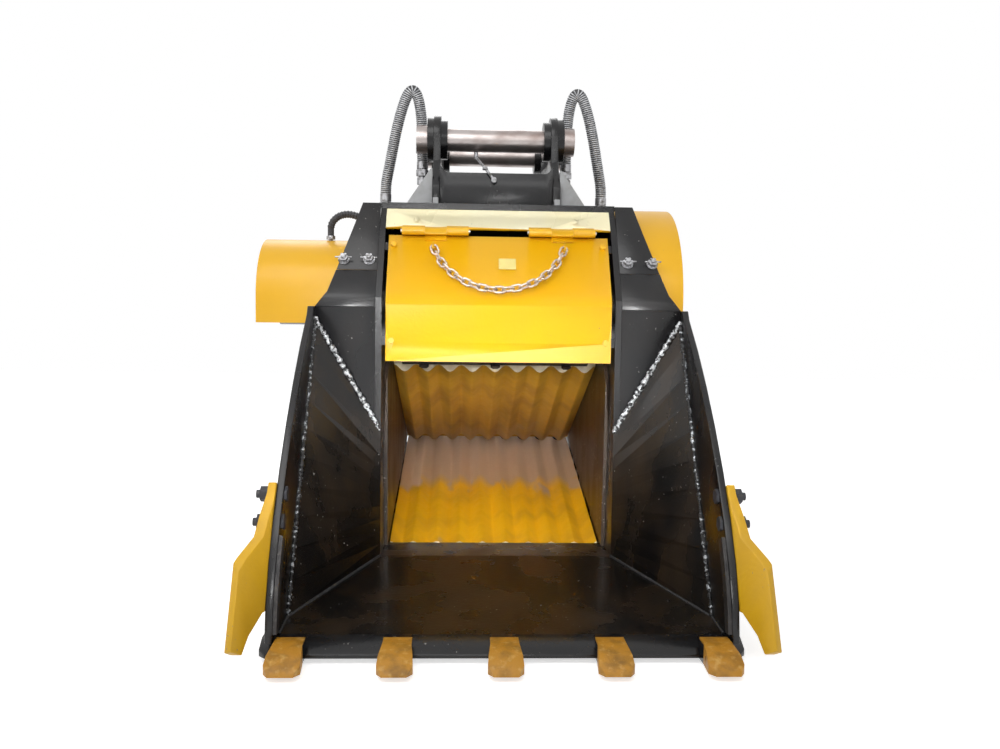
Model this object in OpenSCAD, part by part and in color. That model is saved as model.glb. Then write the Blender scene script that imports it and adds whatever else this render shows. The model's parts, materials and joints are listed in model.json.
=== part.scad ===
// Jaw crusher bucket for a 12 to 16 t excavator: scoop mouth, two corrugated jaws,
// eccentric shaft with flywheel and hydraulic motor, two-pin coupler.
// Model axes: +X to the machine's left as seen from its mouth, +Y to the rear, +Z up.
// Drawing axes used below: x 0 on the centre plane, y 0 at the lip's edge, z 0 under the lip.
// The model's origin is the centre of the stick pin, the front one of the coupler.

/* [Mouth] */
// Width of the lip plate
lip_w = 1020; // [980:1:1060]
// Depth of the lip plate from its edge to its back
lip_d = 150; // [120:1:180]
// Thickness of the lip plate
lip_t = 30; // [20:1:40]
// Length of the bevel on the lip's edge
lip_bevel = 45; // [30:1:55]
// Width over the outer side plates
mouth_w = 992; // [960:1:1004]
// Thickness of the outer side plates
side_t = 16; // [10:1:20]
// Depth from the lip's edge to the front of the crusher body
mouth_d = 540; // [480:1:600]
// Depth of the side plates' top corner behind the lip's edge
rim_y = 507; // [450:1:520]
// Height of the side plates' top corner
rim_z = 704; // [680:1:715]
// Height of the mouth floor where it meets the crusher body
floor_z = 68; // [60:1:90]
// Thickness of the mouth floor and the belly plate
floor_t = 14; // [8:1:18]
// Height of the funnel plates' inner corner
funnel_z = 403; // [340:1:460]
// Depth behind the lip's edge of the funnel plates' lowest corner
funnel_y = 150; // [130:1:260]
// Thickness of the funnel plates, measured to the rear
funnel_t = 24; // [12:1:30]
// Height of the wear runners that the bucket stands on
runner_t = 12; // [6:1:20]

/* [Crusher body] */
// Width inside the crusher's two main side plates
body_in = 615; // [605:1:640]
// Thickness of the main side plates
wall_t = 16; // [12:1:25]
// Thickness of the cheek plates that line the chamber
cheek_t = 10; // [6:1:14]
// Height of the cover's bend
bend_z = 752; // [735:1:780]
// Distance of the cover's hinge line behind the front of the crusher body
hinge_d = 110; // [100:1:125]
// Height of the cover's hinge line
hinge_z = 934; // [915:1:950]
// Distance of the deck's front edge behind the front of the crusher body
deck_d = 158; // [140:1:170]
// Height of the deck's underside
deck_z = 1000; // [985:1:1010]
// Thickness of the deck and the rear slope
deck_t = 16; // [10:1:20]
// Distance behind the front of the crusher body at which the deck turns down
slope_d = 640; // [610:1:660]
// Length of the crusher body from its front to its rear
rear_d = 1160; // [1150:1:1200]
// Height of the rear slope's lower end
rear_z = 640; // [620:1:680]

/* [Jaws] */
// Width of both jaw plates
jaw_w = 590; // [560:1:594]
// Number of corrugations across a jaw plate
jaw_ribs = 9; // [7:1:11]
// Depth of the corrugations
rib_d = 22; // [14:1:28]
// Thickness of a jaw plate over its ridges
jaw_t = 44; // [36:1:48]
// Distance of the fixed jaw's front edge behind the front of the crusher body
fixed_d = 158; // [154:1:175]
// Height of the fixed jaw's front edge
fixed_z = 66; // [62:1:80]
// Slope of the fixed jaw in degrees
fixed_a = 12.6; // [11:0.1:14]
// Length of the fixed jaw
fixed_l = 870; // [800:1:900]
// Distance of the moving jaw's top edge behind the front of the crusher body
moving_d = 250; // [240:1:260]
// Height of the moving jaw's top edge
moving_z = 542; // [535:1:560]
// Slope of the moving jaw in degrees
moving_a = 24.2; // [22:0.1:25]
// Height of the moving jaw's lower edge above the ridges of the fixed jaw
jaw_set = 13.5; // [12:0.5:20]

/* [Drive] */
// Distance of the shaft's axis behind the front of the crusher body
shaft_d = 335; // [330:1:345]
// Height of the shaft's axis
shaft_z = 750; // [745:1:760]
// Offset of the eccentric journal
throw = 8; // [5:0.5:9]
// Radius of the shaft's main journals
journal_r = 50; // [40:1:54]
// Radius of the eccentric journal
crank_r = 62; // [60:1:66]
// Radius of the shaft's ends
end_r = 38; // [30:1:38]
// Radial running clearance of every journal
run_gap = 0.05; // [0.02:0.01:0.1]
// Radius of the flywheel
wheel_r = 240; // [220:1:250]
// Width of the flywheel's rim
wheel_w = 90; // [70:1:95]
// Outer radius of the flywheel's cover
drum_r = 272; // [265:1:275]
// Distance of the flywheel cover's face from the centre plane
drum_x = 502; // [500:1:520]
// Outer radius of the motor's cover
motor_cover_r = 171; // [160:1:180]
// Distance of the motor cover's face from the centre plane
motor_cover_x = 670; // [650:1:690]
// Thickness of the sheet metal covers
sheet_t = 6; // [3:1:8]

/* [Coupler] */
// Distance of the stick pin's axis behind the front of the crusher body
stick_d = 500; // [490:1:520]
// Height of the stick pin's axis above the deck
stick_up = 234; // [214:1:254]
// Distance between the stick pin and the link pin
pin_pitch = 380; // [370:1:400]
// Height of the link pin above the stick pin
pin_rise = 15; // [0:1:20]
// Radius of both pins
pin_r = 35; // [30:1:38]
// Width between the bosses, where the excavator's arm fits
arm_w = 298; // [280:1:310]
// Thickness of an ear plate
ear_t = 22; // [16:1:30]
// Radius of an ear round a pin
ear_r = 74; // [70:1:80]
// Thickness of the boss rings
boss_t = 20; // [12:1:24]

/* [Hoses] */
// Outer diameter of the pressure hoses over their guard springs
hose_d = 36; // [30:1:40]
// Bore of the pressure hoses
hose_bore = 19; // [12:1:22]
// Outer diameter of the drain hose
drain_d = 22; // [18:1:26]
// Bore of the drain hose
drain_bore = 10; // [6:1:12]

/* [Hidden] */
$fn = 64;

// Overrun of a cut past the face that it leaves
over = 2;
// Clearance between curved faces, or between pieces of different bodies
gap = 0.3;
// Depths behind the lip's edge, and heights, in drawing axes
hinge_y = mouth_d + hinge_d;
deck_y = mouth_d + deck_d;
slope_y = mouth_d + slope_d;
rear_y = mouth_d + rear_d;
fixed_y = mouth_d + fixed_d;
moving_y = mouth_d + moving_d;
shaft_y = mouth_d + shaft_d;
stick_y = mouth_d + stick_d;
stick_z = deck_z + deck_t + stick_up;
// Length of the moving jaw, which ends jaw_set above the fixed jaw
moving_l = (moving_z - fixed_z - jaw_set - (moving_y - fixed_y) * tan(fixed_a))
  / (sin(moving_a) + cos(moving_a) * tan(fixed_a));
// Half widths that many pieces share
side_in = mouth_w / 2 - side_t;
body_half = body_in / 2;
body_out = body_half + wall_t;
jaw_half = jaw_w / 2;
// Colours
black = [0.05, 0.05, 0.055];
yellow = [0.95, 0.74, 0.06];
ochre = [0.78, 0.58, 0.16];
steel = [0.62, 0.57, 0.54];
iron = [0.32, 0.32, 0.33];
primer = [0.68, 0.68, 0.67];
zinc = [0.72, 0.72, 0.73];

// Places a piece from the drawing axes into the model's frame
module placed() { translate([0, -stick_y, -stick_z]) children(); }

// Builds a piece for one side: 1 is +X, -1 is its mirror image
module side(s) { if (s > 0) children(); else mirror([1, 0, 0]) children(); }

// Extrudes an outline of [y, z] points along X, from x to x + w
module slab(x, w, pts) {
  translate([x, 0, 0]) rotate([90, 0, 90]) linear_extrude(w) polygon(pts);
}

// The same, centred on the centre plane
module slab_mid(w, pts) { slab(-w / 2, w, pts); }

// A cylinder along X, from x to x + w, with its axis at y, z
module rod_x(x, w, r, y, z) { translate([x, y, z]) rotate([0, 90, 0]) cylinder(h = w, r = r); }

// A cylinder along Y, from y to y + h
module rod_y(x, y, z, h, r) { translate([x, y, z]) rotate([-90, 0, 0]) cylinder(h = h, r = r); }

// A hexagon along Z with width af across its flats
module hex(h, af) { cylinder(h = h, r = af / sqrt(3), $fn = 6); }

// A block from its lowest to its highest corner
module block(a, b) { translate(a) cube(b - a); }

// A local frame on a slope: y up the slope, z square to it
module on_slope(y, z, a) { translate([0, y, z]) rotate([a, 0, 0]) children(); }

// Point at [v, w] of such a frame, in drawing axes
function slope_pt(y, z, a, v, w) = [y + v * cos(a) - w * sin(a), z + v * sin(a) + w * cos(a)];

function unit(v) = v / norm(v);
function left_of(a, b) = let (d = unit(b - a)) [-d[1], d[0]];
function spin2(v, a) = [v[0] * cos(a) - v[1] * sin(a), v[0] * sin(a) + v[1] * cos(a)];
function miter(n1, n2) = let (m = unit(n1 + n2)) m / (m * n1);

// Point i of a line of points, moved by t to the line's left
function beside(p, i, t) =
  i == 0 ? p[0] + t * left_of(p[0], p[1]) :
  i == len(p) - 1 ? p[i] + t * left_of(p[i - 1], p[i]) :
  p[i] + t * miter(left_of(p[i - 1], p[i]), left_of(p[i], p[i + 1]));

// Outline of a bent sheet whose face follows the points p, with its wall t to their left
function sheet(p, t) = concat(p, [for (i = [len(p) - 1:-1:0]) beside(p, i, t)]);

// Points of an arc of radius r that rounds the corner b between a and c, in n steps
function corner(a, b, c, r, n) =
  let (d1 = unit(a - b), d2 = unit(c - b), h = acos(d1 * d2) / 2,
       m = b + unit(d1 + d2) * r / sin(h), s = b + d1 * r / tan(h) - m,
       turn = (180 - 2 * h) * (cross(d1, d2) > 0 ? -1 : 1))
  [for (k = [0:n]) m + spin2(s, turn * k / n)];

// Outlines that several pieces share, as [y, z] points
floor_y = 60;
floor_rise = (floor_z - lip_t) / (mouth_d - floor_y);
function floor_at(y) = lip_t + (y - floor_y) * floor_rise;
bed_y = fixed_y - 8;
back_y = mouth_d + 35;
back_foot_y = mouth_d + 220;
side_top_z = rim_z + 23;
bed_t = 15;
face = [[mouth_d, 0], [mouth_d, bend_z], [hinge_y, hinge_z], [deck_y, deck_z]];
rear_low_z = 150;
foot_y = mouth_d + 1020;

// Lip plate: bevelled edge and chamfered outer corners
edge_t = 8;
module cutting_edge() {
  ear_cut = 14;
  color(black) placed() intersection() {
    slab_mid(lip_w, [[0, 0], [lip_d, 0], [lip_d, lip_t], [lip_bevel, lip_t], [0, edge_t]]);
    linear_extrude(lip_t) polygon([
      [-lip_w / 2, lip_d], [-lip_w / 2, ear_cut], [-lip_w / 2 + ear_cut, 0],
      [lip_w / 2 - ear_cut, 0], [lip_w / 2, ear_cut], [lip_w / 2, lip_d]]);
  }
}

// Mouth floor, rising from the lip to the crusher body
module bucket_floor() {
  foot = floor_y + floor_t / floor_rise;
  color(black) placed() slab_mid(2 * side_in,
    [[floor_y, lip_t], [foot, lip_t], [mouth_d, floor_z - floor_t], [mouth_d, floor_z]]);
}

// Upright ribs between the belly plate and the mouth floor
module floor_ribs() {
  rib_t = 12;
  toe = lip_d + 60;
  z0 = floor_t;
  color(black) placed() for (k = [-2:2]) {
    slab(k * side_in / 2.5 - rib_t / 2, rib_t,
      [[toe, z0], [mouth_d, z0], [mouth_d, floor_z - floor_t], [toe, floor_at(toe) - floor_t]]);
  }
}

// Belly plate under the mouth and the front crossbeam
module belly_plate() {
  wing_y = back_foot_y - floor_t - floor_t * (back_foot_y - back_y) / side_top_z;
  color(black) placed() linear_extrude(floor_t) polygon([
    [-side_in, lip_d], [side_in, lip_d], [side_in, wing_y], [body_out, wing_y],
    [body_out, mouth_d], [body_half, mouth_d], [body_half, bed_y], [-body_half, bed_y],
    [-body_half, mouth_d], [-body_out, mouth_d], [-body_out, wing_y], [-side_in, wing_y]]);
}

// Front rim of a side plate, a curve from the lip to the top corner
rim_toe = 2;
rim_steps = 8;
rim_pulls = [[0, 213], [253, 520]];
function rim_at(t) = let (u = 1 - t) u * u * u * [rim_toe, lip_t] + 3 * u * u * t * rim_pulls[0]
  + 3 * u * t * t * rim_pulls[1] + t * t * t * [rim_y, rim_z];
rim_line = [for (k = [0:rim_steps]) rim_at(k / rim_steps)];

// Outer side plate of the mouth
module outer_side(s) {
  color(black) placed() side(s) slab(side_in, side_t, concat(
    [[lip_d, lip_t], [lip_d, 0], [back_foot_y, 0], [back_y, side_top_z],
     [rim_y + side_t, side_top_z]], [for (k = [rim_steps:-1:0]) rim_line[k]]));
}
module outer_side_left() outer_side(-1);
module outer_side_right() outer_side(1);

// Hardened bars welded along the lower front of the side plates
module rim_bars() {
  bar_w = 26;
  bar_t = 8;
  bar_steps = 4;
  start_share = 0.04;
  end_share = 0.33;
  line = [for (k = [0:bar_steps]) [bar_t / 2, -bar_t / 2]
    + rim_at(start_share + (end_share - start_share) * k / bar_steps)];
  color(iron) placed() for (s = [-1, 1]) side(s) slab(side_in - bar_t, bar_t, sheet(line, -bar_w));
}

// Corners of a funnel plate: inner top, outer top, lowest, inner foot
funnel_edge = 6;
f_top = [body_half, mouth_d - funnel_edge, funnel_z];
f_out = [side_in, mouth_d - funnel_edge, rim_z - 9];
f_low = [side_in, funnel_y, floor_at(funnel_y)];
f_foot = [body_half, mouth_d - funnel_edge, floor_at(mouth_d - funnel_edge)];

// Funnel plate: twisted from the upright edge of the chamber to the side plate's slope
funnel_rows = 10;
function funnel_row(t) =
  let (a = f_foot + t * (f_top - f_foot), b = f_low + t * (f_out - f_low),
       c = min(b[1] + funnel_t, mouth_d))
  [a, b, [b[0], c, t > 0 ? b[2] : floor_at(c)], [a[0], mouth_d, t > 0 ? a[2] : floor_at(mouth_d)]];
module funnel(s) {
  color(black) placed() side(s) tube_mesh([for (k = [0:funnel_rows]) funnel_row(k / funnel_rows)], 4);
}
module funnel_left() funnel(-1);
module funnel_right() funnel(1);

// Plates that close the mouth's corners from behind
module back_plates() {
  t = floor_t;
  lean = (back_foot_y - back_y) / side_top_z;
  color(black) placed() for (s = [-1, 1]) side(s) {
    slab(body_out, side_in - body_out, [
      [back_foot_y - t, 0], [back_foot_y, 0], [back_y, side_top_z], [back_y - t, side_top_z]]);
  }
}

// Places along the sloping face of the crusher body, between its bend and the hinge line
face_a = atan2(hinge_z - bend_z, hinge_y - mouth_d);
function face_at(z) = mouth_d + (z - bend_z) / tan(face_a);
corner_low = 727;
corner_high = 766;
joint_z = 825;
corner_t = 10;
// Half widths of the black corner pieces, down the slanted edge
corner_shares = [0.938, 0.897];
guard_top = 372;
guard_z = deck_z + 13;

// Front corner of the crusher body: flat plate, weld ledge and bent upper sheet
module front_corner(s) {
  t = 12;
  x_low = side_in;
  x_high = side_in * corner_shares[0];
  x_joint = side_in * corner_shares[1];
  step = 3;
  bend = corner([mouth_d, corner_low], [mouth_d, bend_z], [hinge_y, hinge_z], 40, 4);
  line = concat([[mouth_d - step, corner_low]], bend, [[face_at(joint_z), joint_z]]);
  color(black) placed() side(s) {
    translate([0, mouth_d, 0]) rotate([90, 0, 0]) translate([0, 0, -t]) linear_extrude(t) polygon([
      [body_out, corner_low], [side_in, corner_low], [side_in, f_out[2]],
      [body_out, f_top[2] + (f_out[2] - f_top[2]) * wall_t / (side_in - body_half)]]);
    intersection() {
      slab(body_out, side_in - body_out, sheet(line, -corner_t));
      translate([0, mouth_d + 2 * hinge_y, 0]) rotate([90, 0, 0]) linear_extrude(3 * hinge_y)
        polygon([[body_out, corner_low], [x_low, corner_low], [x_high, corner_high],
          [x_joint, joint_z + over], [body_out, joint_z + over]]);
    }
  }
}
module front_corner_left() front_corner(-1);
module front_corner_right() front_corner(1);

// Bolted guard plate above each front corner, folded over the deck at its top
module guard_plate(s) {
  x_joint = side_in * corner_shares[1];
  lip_y = 30;
  line = [[face_at(joint_z + gap), joint_z + gap], [hinge_y, hinge_z],
    [deck_y - 8, guard_z], [deck_y - 8 + lip_y, guard_z]];
  color(black) placed() side(s) intersection() {
    slab(body_out + gap, x_joint, sheet(line, -corner_t));
    translate([0, mouth_d + 2 * hinge_y, 0]) rotate([90, 0, 0]) linear_extrude(3 * hinge_y)
      polygon([[body_out, joint_z], [x_joint, joint_z], [guard_top, guard_z + over],
        [body_out, guard_z + over]]);
  }
}
module guard_plate_left() guard_plate(-1);
module guard_plate_right() guard_plate(1);

// Studs through the guard plates, each with its washer, castle nut and split pin
stud_xs = [346, 413];
stud_up = 26;
module guard_fasteners() {
  washer_r = 15;
  washer_t = 3;
  nut_h = 13;
  nut_af = 22;
  stud_r = 6;
  pin_d = 4;
  pin_l = 44;
  slot_w = 5;
  color(zinc) placed() for (s = [-1, 1], x = stud_xs) {
    on_slope(face_at(joint_z + stud_up), joint_z + stud_up, face_a) translate([s * x, 0, 0]) {
      cylinder(h = washer_t, r = washer_r);
      difference() {
        union() {
          translate([0, 0, washer_t]) hex(nut_h, nut_af);
          cylinder(h = nut_h + 3 * washer_t, r = stud_r);
          translate([-pin_l / 2, 0, nut_h + washer_t - slot_w / 2]) rotate([0, 90, 0])
            cylinder(h = pin_l, r = pin_d / 2);
        }
        for (a = [30, 90, 150]) rotate([0, 0, a])
          translate([stud_r, -slot_w / 2, nut_h - slot_w + washer_t])
            cube([nut_af, slot_w, slot_w + over]);
      }
    }
  }
}

// Side cutter: bent plate, flat on the side plate and flared forward of its rim
cutter_t = 18;
cutter_flare = 34;
cutter_h = 290;
cutter_reach = 80;
cutter_tail = 110;
rim_lean = atan2(rim_line[3][0] - rim_line[1][0], rim_line[3][1] - rim_line[1][1]);
cutter_fold = rim_line[1] - [cutter_t / 4, 0];
function cutter_pt(v, w) = cutter_fold + [v * cos(rim_lean) + w * sin(rim_lean),
  w * cos(rim_lean) - v * sin(rim_lean)];
// Outline: shares of the reach or the tail, and of the height along the fold
cutter_shares = [[1, 0.1], [1, 0.72], [0.5, 0.93], [0.1, 0.93], [-0.12, 0.66], [-0.25, 0.5],
  [-0.75, 0.33], [-1.05, 0.2], [-1.05, -0.31], [-0.62, -0.33], [-0.45, -0.2], [-0.04, -0.03]];
module side_cutter(s) {
  forward = cutter_reach * cos(cutter_flare);
  flare = [cutter_reach * sin(cutter_flare), -forward];
  shape = sheet([flare, [0, 0], [0, cutter_tail]], -cutter_t);
  color(yellow) placed() side(s) intersection() {
    translate([mouth_w / 2, cutter_fold[0], cutter_fold[1]]) rotate([-rim_lean, 0, 0])
      translate([0, 0, -cutter_h]) linear_extrude(3 * cutter_h) polygon(shape);
    slab(mouth_w / 2 - over, 2 * cutter_reach, [for (c = cutter_shares)
      cutter_pt(c[0] * (c[0] < 0 ? forward : cutter_tail), c[1] * cutter_h)]);
  }
}
module side_cutter_left() side_cutter(-1);
module side_cutter_right() side_cutter(1);

// Bolts of the side cutters: head inside the mouth, washer and nut outside
cutter_bolt_shares = [[0.32, 0.86], [0.24, 0.64]];
module cutter_bolts() {
  bolt_r = 9;
  head_h = 6;
  head_af = 30;
  nut_h = 16;
  stand = 12;
  color(iron) placed() for (s = [-1, 1], b = cutter_bolt_shares) side(s) {
    p = cutter_pt(b[0] * cutter_tail, b[1] * cutter_h);
    translate([mouth_w / 2 + cutter_t, p[0], p[1]]) rotate([0, 90, 0]) {
      cylinder(h = 3, r = head_af / 2 + 3);
      hex(nut_h + 3, head_af);
      cylinder(h = nut_h + stand, r = bolt_r);
    }
    translate([side_in - head_h, p[0], p[1]]) rotate([0, 90, 0]) hex(head_h, head_af);
  }
}

// Teeth along the lip: welded adapters, and cast caps held by cross pins
tooth_count = 5;
tooth_pitch = (lip_w - 130) / (tooth_count - 1);
tooth_w = 60;
tooth_tip_share = 0.84;
tooth_wide_share = 1.22;
tooth_leg_share = 0.9;
nose_share = 0.6;
tooth_wide_y = -76;
tooth_tip = -96;
tooth_shoulder = -runner_t;
nose_tip = -56;
nose_half = 6;
tooth_wall = 5;
adapter_top = lip_t + 3;
crown = adapter_top + tooth_wall;
tooth_pin_r = 6;
tooth_pin_y = -38;
module tooth_places() {
  for (k = [0:tooth_count - 1]) translate([(k - (tooth_count - 1) / 2) * tooth_pitch, 0, 0]) children();
}
module tooth_nose(c) {
  slab_mid(tooth_w * nose_share + 2 * c, [
    [nose_tip - c, lip_t / 2 - nose_half - c], [nose_tip - c, lip_t / 2 + nose_half + c],
    [tooth_shoulder + over, lip_t - tooth_wall / 2 + c], [tooth_shoulder + over, tooth_wall / 2 - c]]);
}
module tooth_pin_bar(w) { rod_x(-w / 2, w, tooth_pin_r, tooth_pin_y, lip_t / 2); }
module tooth_adapters() {
  leg_l = 115;
  color(black) placed() tooth_places() difference() {
    union() {
      tooth_nose(0);
      slab_mid(tooth_w * tooth_leg_share, [
        [tooth_shoulder, -runner_t / 2], [0, -runner_t], [leg_l, -runner_t], [leg_l + runner_t, 0],
        [0, 0], [0, edge_t], [lip_bevel, lip_t], [floor_y - gap, lip_t],
        [floor_y - tooth_wall, adapter_top], [tooth_shoulder, adapter_top]]);
    }
    tooth_pin_bar(2 * tooth_w);
  }
}
module tooth_caps() {
  seat = tooth_shoulder - gap;
  heel = lip_bevel / 2;
  color(ochre) placed() tooth_places() difference() {
    intersection() {
      slab_mid(2 * tooth_w, [
        [tooth_tip, 0], [tooth_tip + tooth_wall, edge_t], [tooth_tip * 0.6, lip_t],
        [seat, crown], [heel, crown], [heel, adapter_top + gap], [seat, adapter_top + gap],
        [seat, -runner_t / 2], [seat - runner_t, -runner_t / 2]]);
      translate([0, 0, -crown]) linear_extrude(3 * crown) polygon([
        [-tooth_w / 2 * tooth_tip_share, tooth_tip], [tooth_w / 2 * tooth_tip_share, tooth_tip],
        [tooth_w / 2 * tooth_wide_share, tooth_wide_y], [tooth_w / 2, tooth_shoulder],
        [tooth_w / 2, lip_bevel], [-tooth_w / 2, lip_bevel],
        [-tooth_w / 2, tooth_shoulder], [-tooth_w / 2 * tooth_wide_share, tooth_wide_y]]);
    }
    tooth_nose(gap);
    tooth_pin_bar(2 * tooth_w);
  }
}
module tooth_pins() { color(iron) placed() tooth_places() tooth_pin_bar(tooth_w + over); }

// Wear runners under the bucket, in line with the crusher body and its bed ribs
module wear_runners() {
  bar_w = 60;
  toe = lip_d + 40;
  color(iron) placed() for (x = [-body_half - wall_t / 2, 0, body_half + wall_t / 2]) {
    slab(x - bar_w / 2, bar_w, [[toe + runner_t, -runner_t], [foot_y - runner_t, -runner_t],
      [foot_y, 0], [toe, 0]]);
  }
}

// Housings of the shaft bearings
housing_r = 140;
bell_in_r = 118;
housing_w = 62;
spigot_r = 88;
bearing_r = 80;

// Places of the frame's joints with the rear crossmember
beam_front = 40;
beam_y = rear_y - beam_front;
beam_low = 400;
beam_high = 600;

// Outline of a main side plate
side_line = concat(face, [[slope_y, deck_z], [rear_y, rear_z], [rear_y, beam_low - 60],
  [foot_y + 60, rear_low_z], [foot_y, 0]]);

// Main side plate of the crusher body, bored for the bearing's spigot
module main_side(s) {
  color(black) placed() side(s) difference() {
    union() {
      slab(body_half, wall_t, side_line);
      cover_tabs();
    }
    rod_x(body_half - over, wall_t + 2 * over, spigot_r, shaft_y, shaft_z);
  }
}
module main_side_left() main_side(-1);
module main_side_right() main_side(1);

// Deck and rear slope over the crusher body
deck_a = atan2(rear_z - deck_z, rear_y - slope_y);
function deck_at(y) = y < slope_y ? deck_z + deck_t
  : deck_z + deck_t / cos(deck_a) + (y - slope_y) * tan(deck_a);
module top_deck() {
  color(black) placed() slab_mid(2 * body_out,
    sheet([[deck_y, deck_z], [slope_y, deck_z], [rear_y, rear_z]], deck_t));
}

// Fixed strip under the deck's front edge, with the outer knuckles of the two cover hinges
knuckle_r = 11;
knuckle_pin_r = 5;
hinge_xs = [-262, 82];
hinge_l = 180;
knuckle_shares = [0, 0.34, 0.67, 1];
strip_low = 12;
strip_a = atan2(deck_z - hinge_z, deck_y - hinge_y);
strip_l = norm([deck_z - hinge_z, deck_y - hinge_y]);
module knuckle(x0, k, c) {
  a = x0 + hinge_l * knuckle_shares[k] + c;
  b = x0 + hinge_l * knuckle_shares[k + 1] - c;
  rod_x(a, b - a, knuckle_r, hinge_y - knuckle_r, hinge_z);
}
module knuckle_bore(x0) {
  rod_x(x0 - over, hinge_l + 2 * over, knuckle_pin_r + run_gap, hinge_y - knuckle_r, hinge_z);
}
module top_strip() {
  screw_r = 9;
  screw_x_shares = [-0.73, 0.68];
  color(yellow) placed() difference() {
    union() {
      on_slope(hinge_y, hinge_z, strip_a) translate([-body_half + gap, strip_low, -sheet_t])
        cube([2 * (body_half - gap), strip_l - strip_low - over, sheet_t]);
      for (x = hinge_xs, k = [0, 2]) {
        knuckle(x, k, 0);
        a = x + hinge_l * knuckle_shares[k];
        on_slope(hinge_y, hinge_z, strip_a) translate([a, -knuckle_r / 2, 0])
          cube([hinge_l * (knuckle_shares[k + 1] - knuckle_shares[k]), strip_low + knuckle_r, 3]);
      }
      for (k = screw_x_shares) on_slope(hinge_y, hinge_z, strip_a)
        translate([k * body_half, strip_low + 3 * screw_r, 0]) hex(screw_r / 2, 2 * screw_r);
    }
    for (x = hinge_xs) knuckle_bore(x);
  }
}
module cover_hinge_pins() {
  color(steel) placed() for (x = hinge_xs)
    rod_x(x - 4, hinge_l + 8, knuckle_pin_r, hinge_y - knuckle_r, hinge_z);
}

// Folded box beam between the mouth floor and the fixed jaw
module front_crossbeam() {
  t = floor_t;
  ledge_z = fixed_z - over;
  color(black) placed() difference() {
    slab_mid(body_in, [[mouth_d, t], [bed_y, t], [bed_y, ledge_z], [mouth_d, floor_z]]);
    slab_mid(body_in - 2 * t, [[mouth_d + t, 2 * t], [bed_y - t, 2 * t],
      [bed_y - t, ledge_z - t], [mouth_d + t, floor_z - t]]);
  }
}

// Bed under the fixed jaw: sloping plate on lengthwise ribs, with a foot bar at the rear
function bed_pt(v, w) = slope_pt(fixed_y, fixed_z, fixed_a, v, w);
module jaw_bed() {
  rib_t = 20;
  top = -jaw_t - gap / 10;
  low = -jaw_t - bed_t;
  end = fixed_l + clamp_w;
  first = 20;
  color(black) placed() union() {
    slab_mid(body_in, [bed_pt(first, top), bed_pt(end, top), bed_pt(end, low), bed_pt(first, low)]);
    for (k = [-3, -1, 1, 3]) slab(k * body_half / 4 - rib_t / 2, rib_t,
      [[fixed_y + first + rib_t, 0], [foot_y - rib_t, 0],
       [foot_y - rib_t, bed_pt(end, 0)[1] - jaw_t - bed_t],
       bed_pt(end - rib_t * 2, low + 1), bed_pt(first + rib_t, low + 1)]);
    block([-body_half, foot_y - 2 * rib_t, 0], [body_half, foot_y - rib_t, 3 * rib_t]);
  }
}

// Outline of a jaw plate across its width: rounded ridges, in phase 0 with one at each edge
clamp_w = 25;
jaw_steps = 8;
function jaw_face(phase) = [for (k = [0:jaw_ribs * jaw_steps])
  [-jaw_half + k * jaw_w / jaw_ribs / jaw_steps,
   rib_d / 2 * (cos(360 * k / jaw_steps + phase) - 1)]];
module jaw_plate(l, phase) {
  translate([0, l, 0]) rotate([90, 0, 0]) linear_extrude(l)
    polygon(concat([[-jaw_half, -jaw_t]], jaw_face(phase), [[jaw_half, -jaw_t]]));
}
module on_fixed() { on_slope(fixed_y, fixed_z, fixed_a) children(); }
module on_moving() { on_slope(moving_y, moving_z, -moving_a) children(); }
function moving_pt(v, w) = slope_pt(moving_y, moving_z, -moving_a, v, w);

// Fixed jaw in the floor of the chamber; its ridges stand in the moving jaw's valleys
module fixed_jaw() { color(yellow) placed() on_fixed() jaw_plate(fixed_l, 0); }

// Moving jaw, face down, held on the pitman
module moving_jaw() {
  color(ochre) placed() on_moving() mirror([0, 0, 1]) jaw_plate(moving_l, 180);
}

// Bar and bolts that hold a jaw plate at one end
clamp_x_shares = [-0.7, 0, 0.7];
module clamp_bar(t) {
  bolt_af = 24;
  block([-jaw_half + clamp_w, 0, 0], [jaw_half - clamp_w, clamp_w - gap, t]);
  for (k = clamp_x_shares) translate([k * jaw_half, clamp_w / 2, t]) hex(bolt_af / 2, bolt_af);
}
module fixed_jaw_clamp() {
  color(iron) placed() on_fixed() translate([0, fixed_l + gap, -jaw_t]) clamp_bar(jaw_t * 0.7);
}
module moving_jaw_clamp() {
  color(iron) placed() on_moving() translate([0, -gap, jaw_t]) rotate([180, 0, 0])
    clamp_bar(jaw_t - rib_d);
}

// Cheek plate: wear liner on one wall of the chamber, its front corner chamfered
cheek_front = mouth_d + 80;
cheek_back = foot_y;
cheek_step = 120;
cheek_top = 580;
module cheek(s) {
  cut = 26;
  low = fixed_z - fixed_y * tan(fixed_a) + 2;
  color(black) placed() side(s) difference() {
    slab(body_half - cheek_t, cheek_t - gap / 3, [
      [cheek_front + cut, low + (cheek_front + 3 * cut) * tan(fixed_a)],
      [cheek_back, low + cheek_back * tan(fixed_a)], [cheek_back, beam_low - 110],
      [moving_y + cheek_step, cheek_top], [cheek_front + 2 * cut, cheek_top],
      [cheek_front, cheek_top - 2 * cut]]);
    translate([body_half - cheek_t, cheek_front - over, 0]) rotate([0, 0, 45])
      translate([-cut, -cut, -over]) cube([2 * cut, cut, cheek_top + 2 * over]);
  }
}
module cheek_left() cheek(-1);
module cheek_right() cheek(1);

// Toggle: angle of its plate, centre of its front end, length between end centres
toggle_a = 31;
toggle_r = 18;
toggle_f = [mouth_d + 980, 404];
toggle_l = 90;
toggle_e = toggle_f + toggle_l * [cos(toggle_a), sin(toggle_a)];
// Free travel of the open pivot: the pitman swings this close to the toggle's front end
toggle_gap = 13;
// Travel of the adjusting block
adjust_l = 20;
block_l = 32;
block_half = 38;

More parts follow.
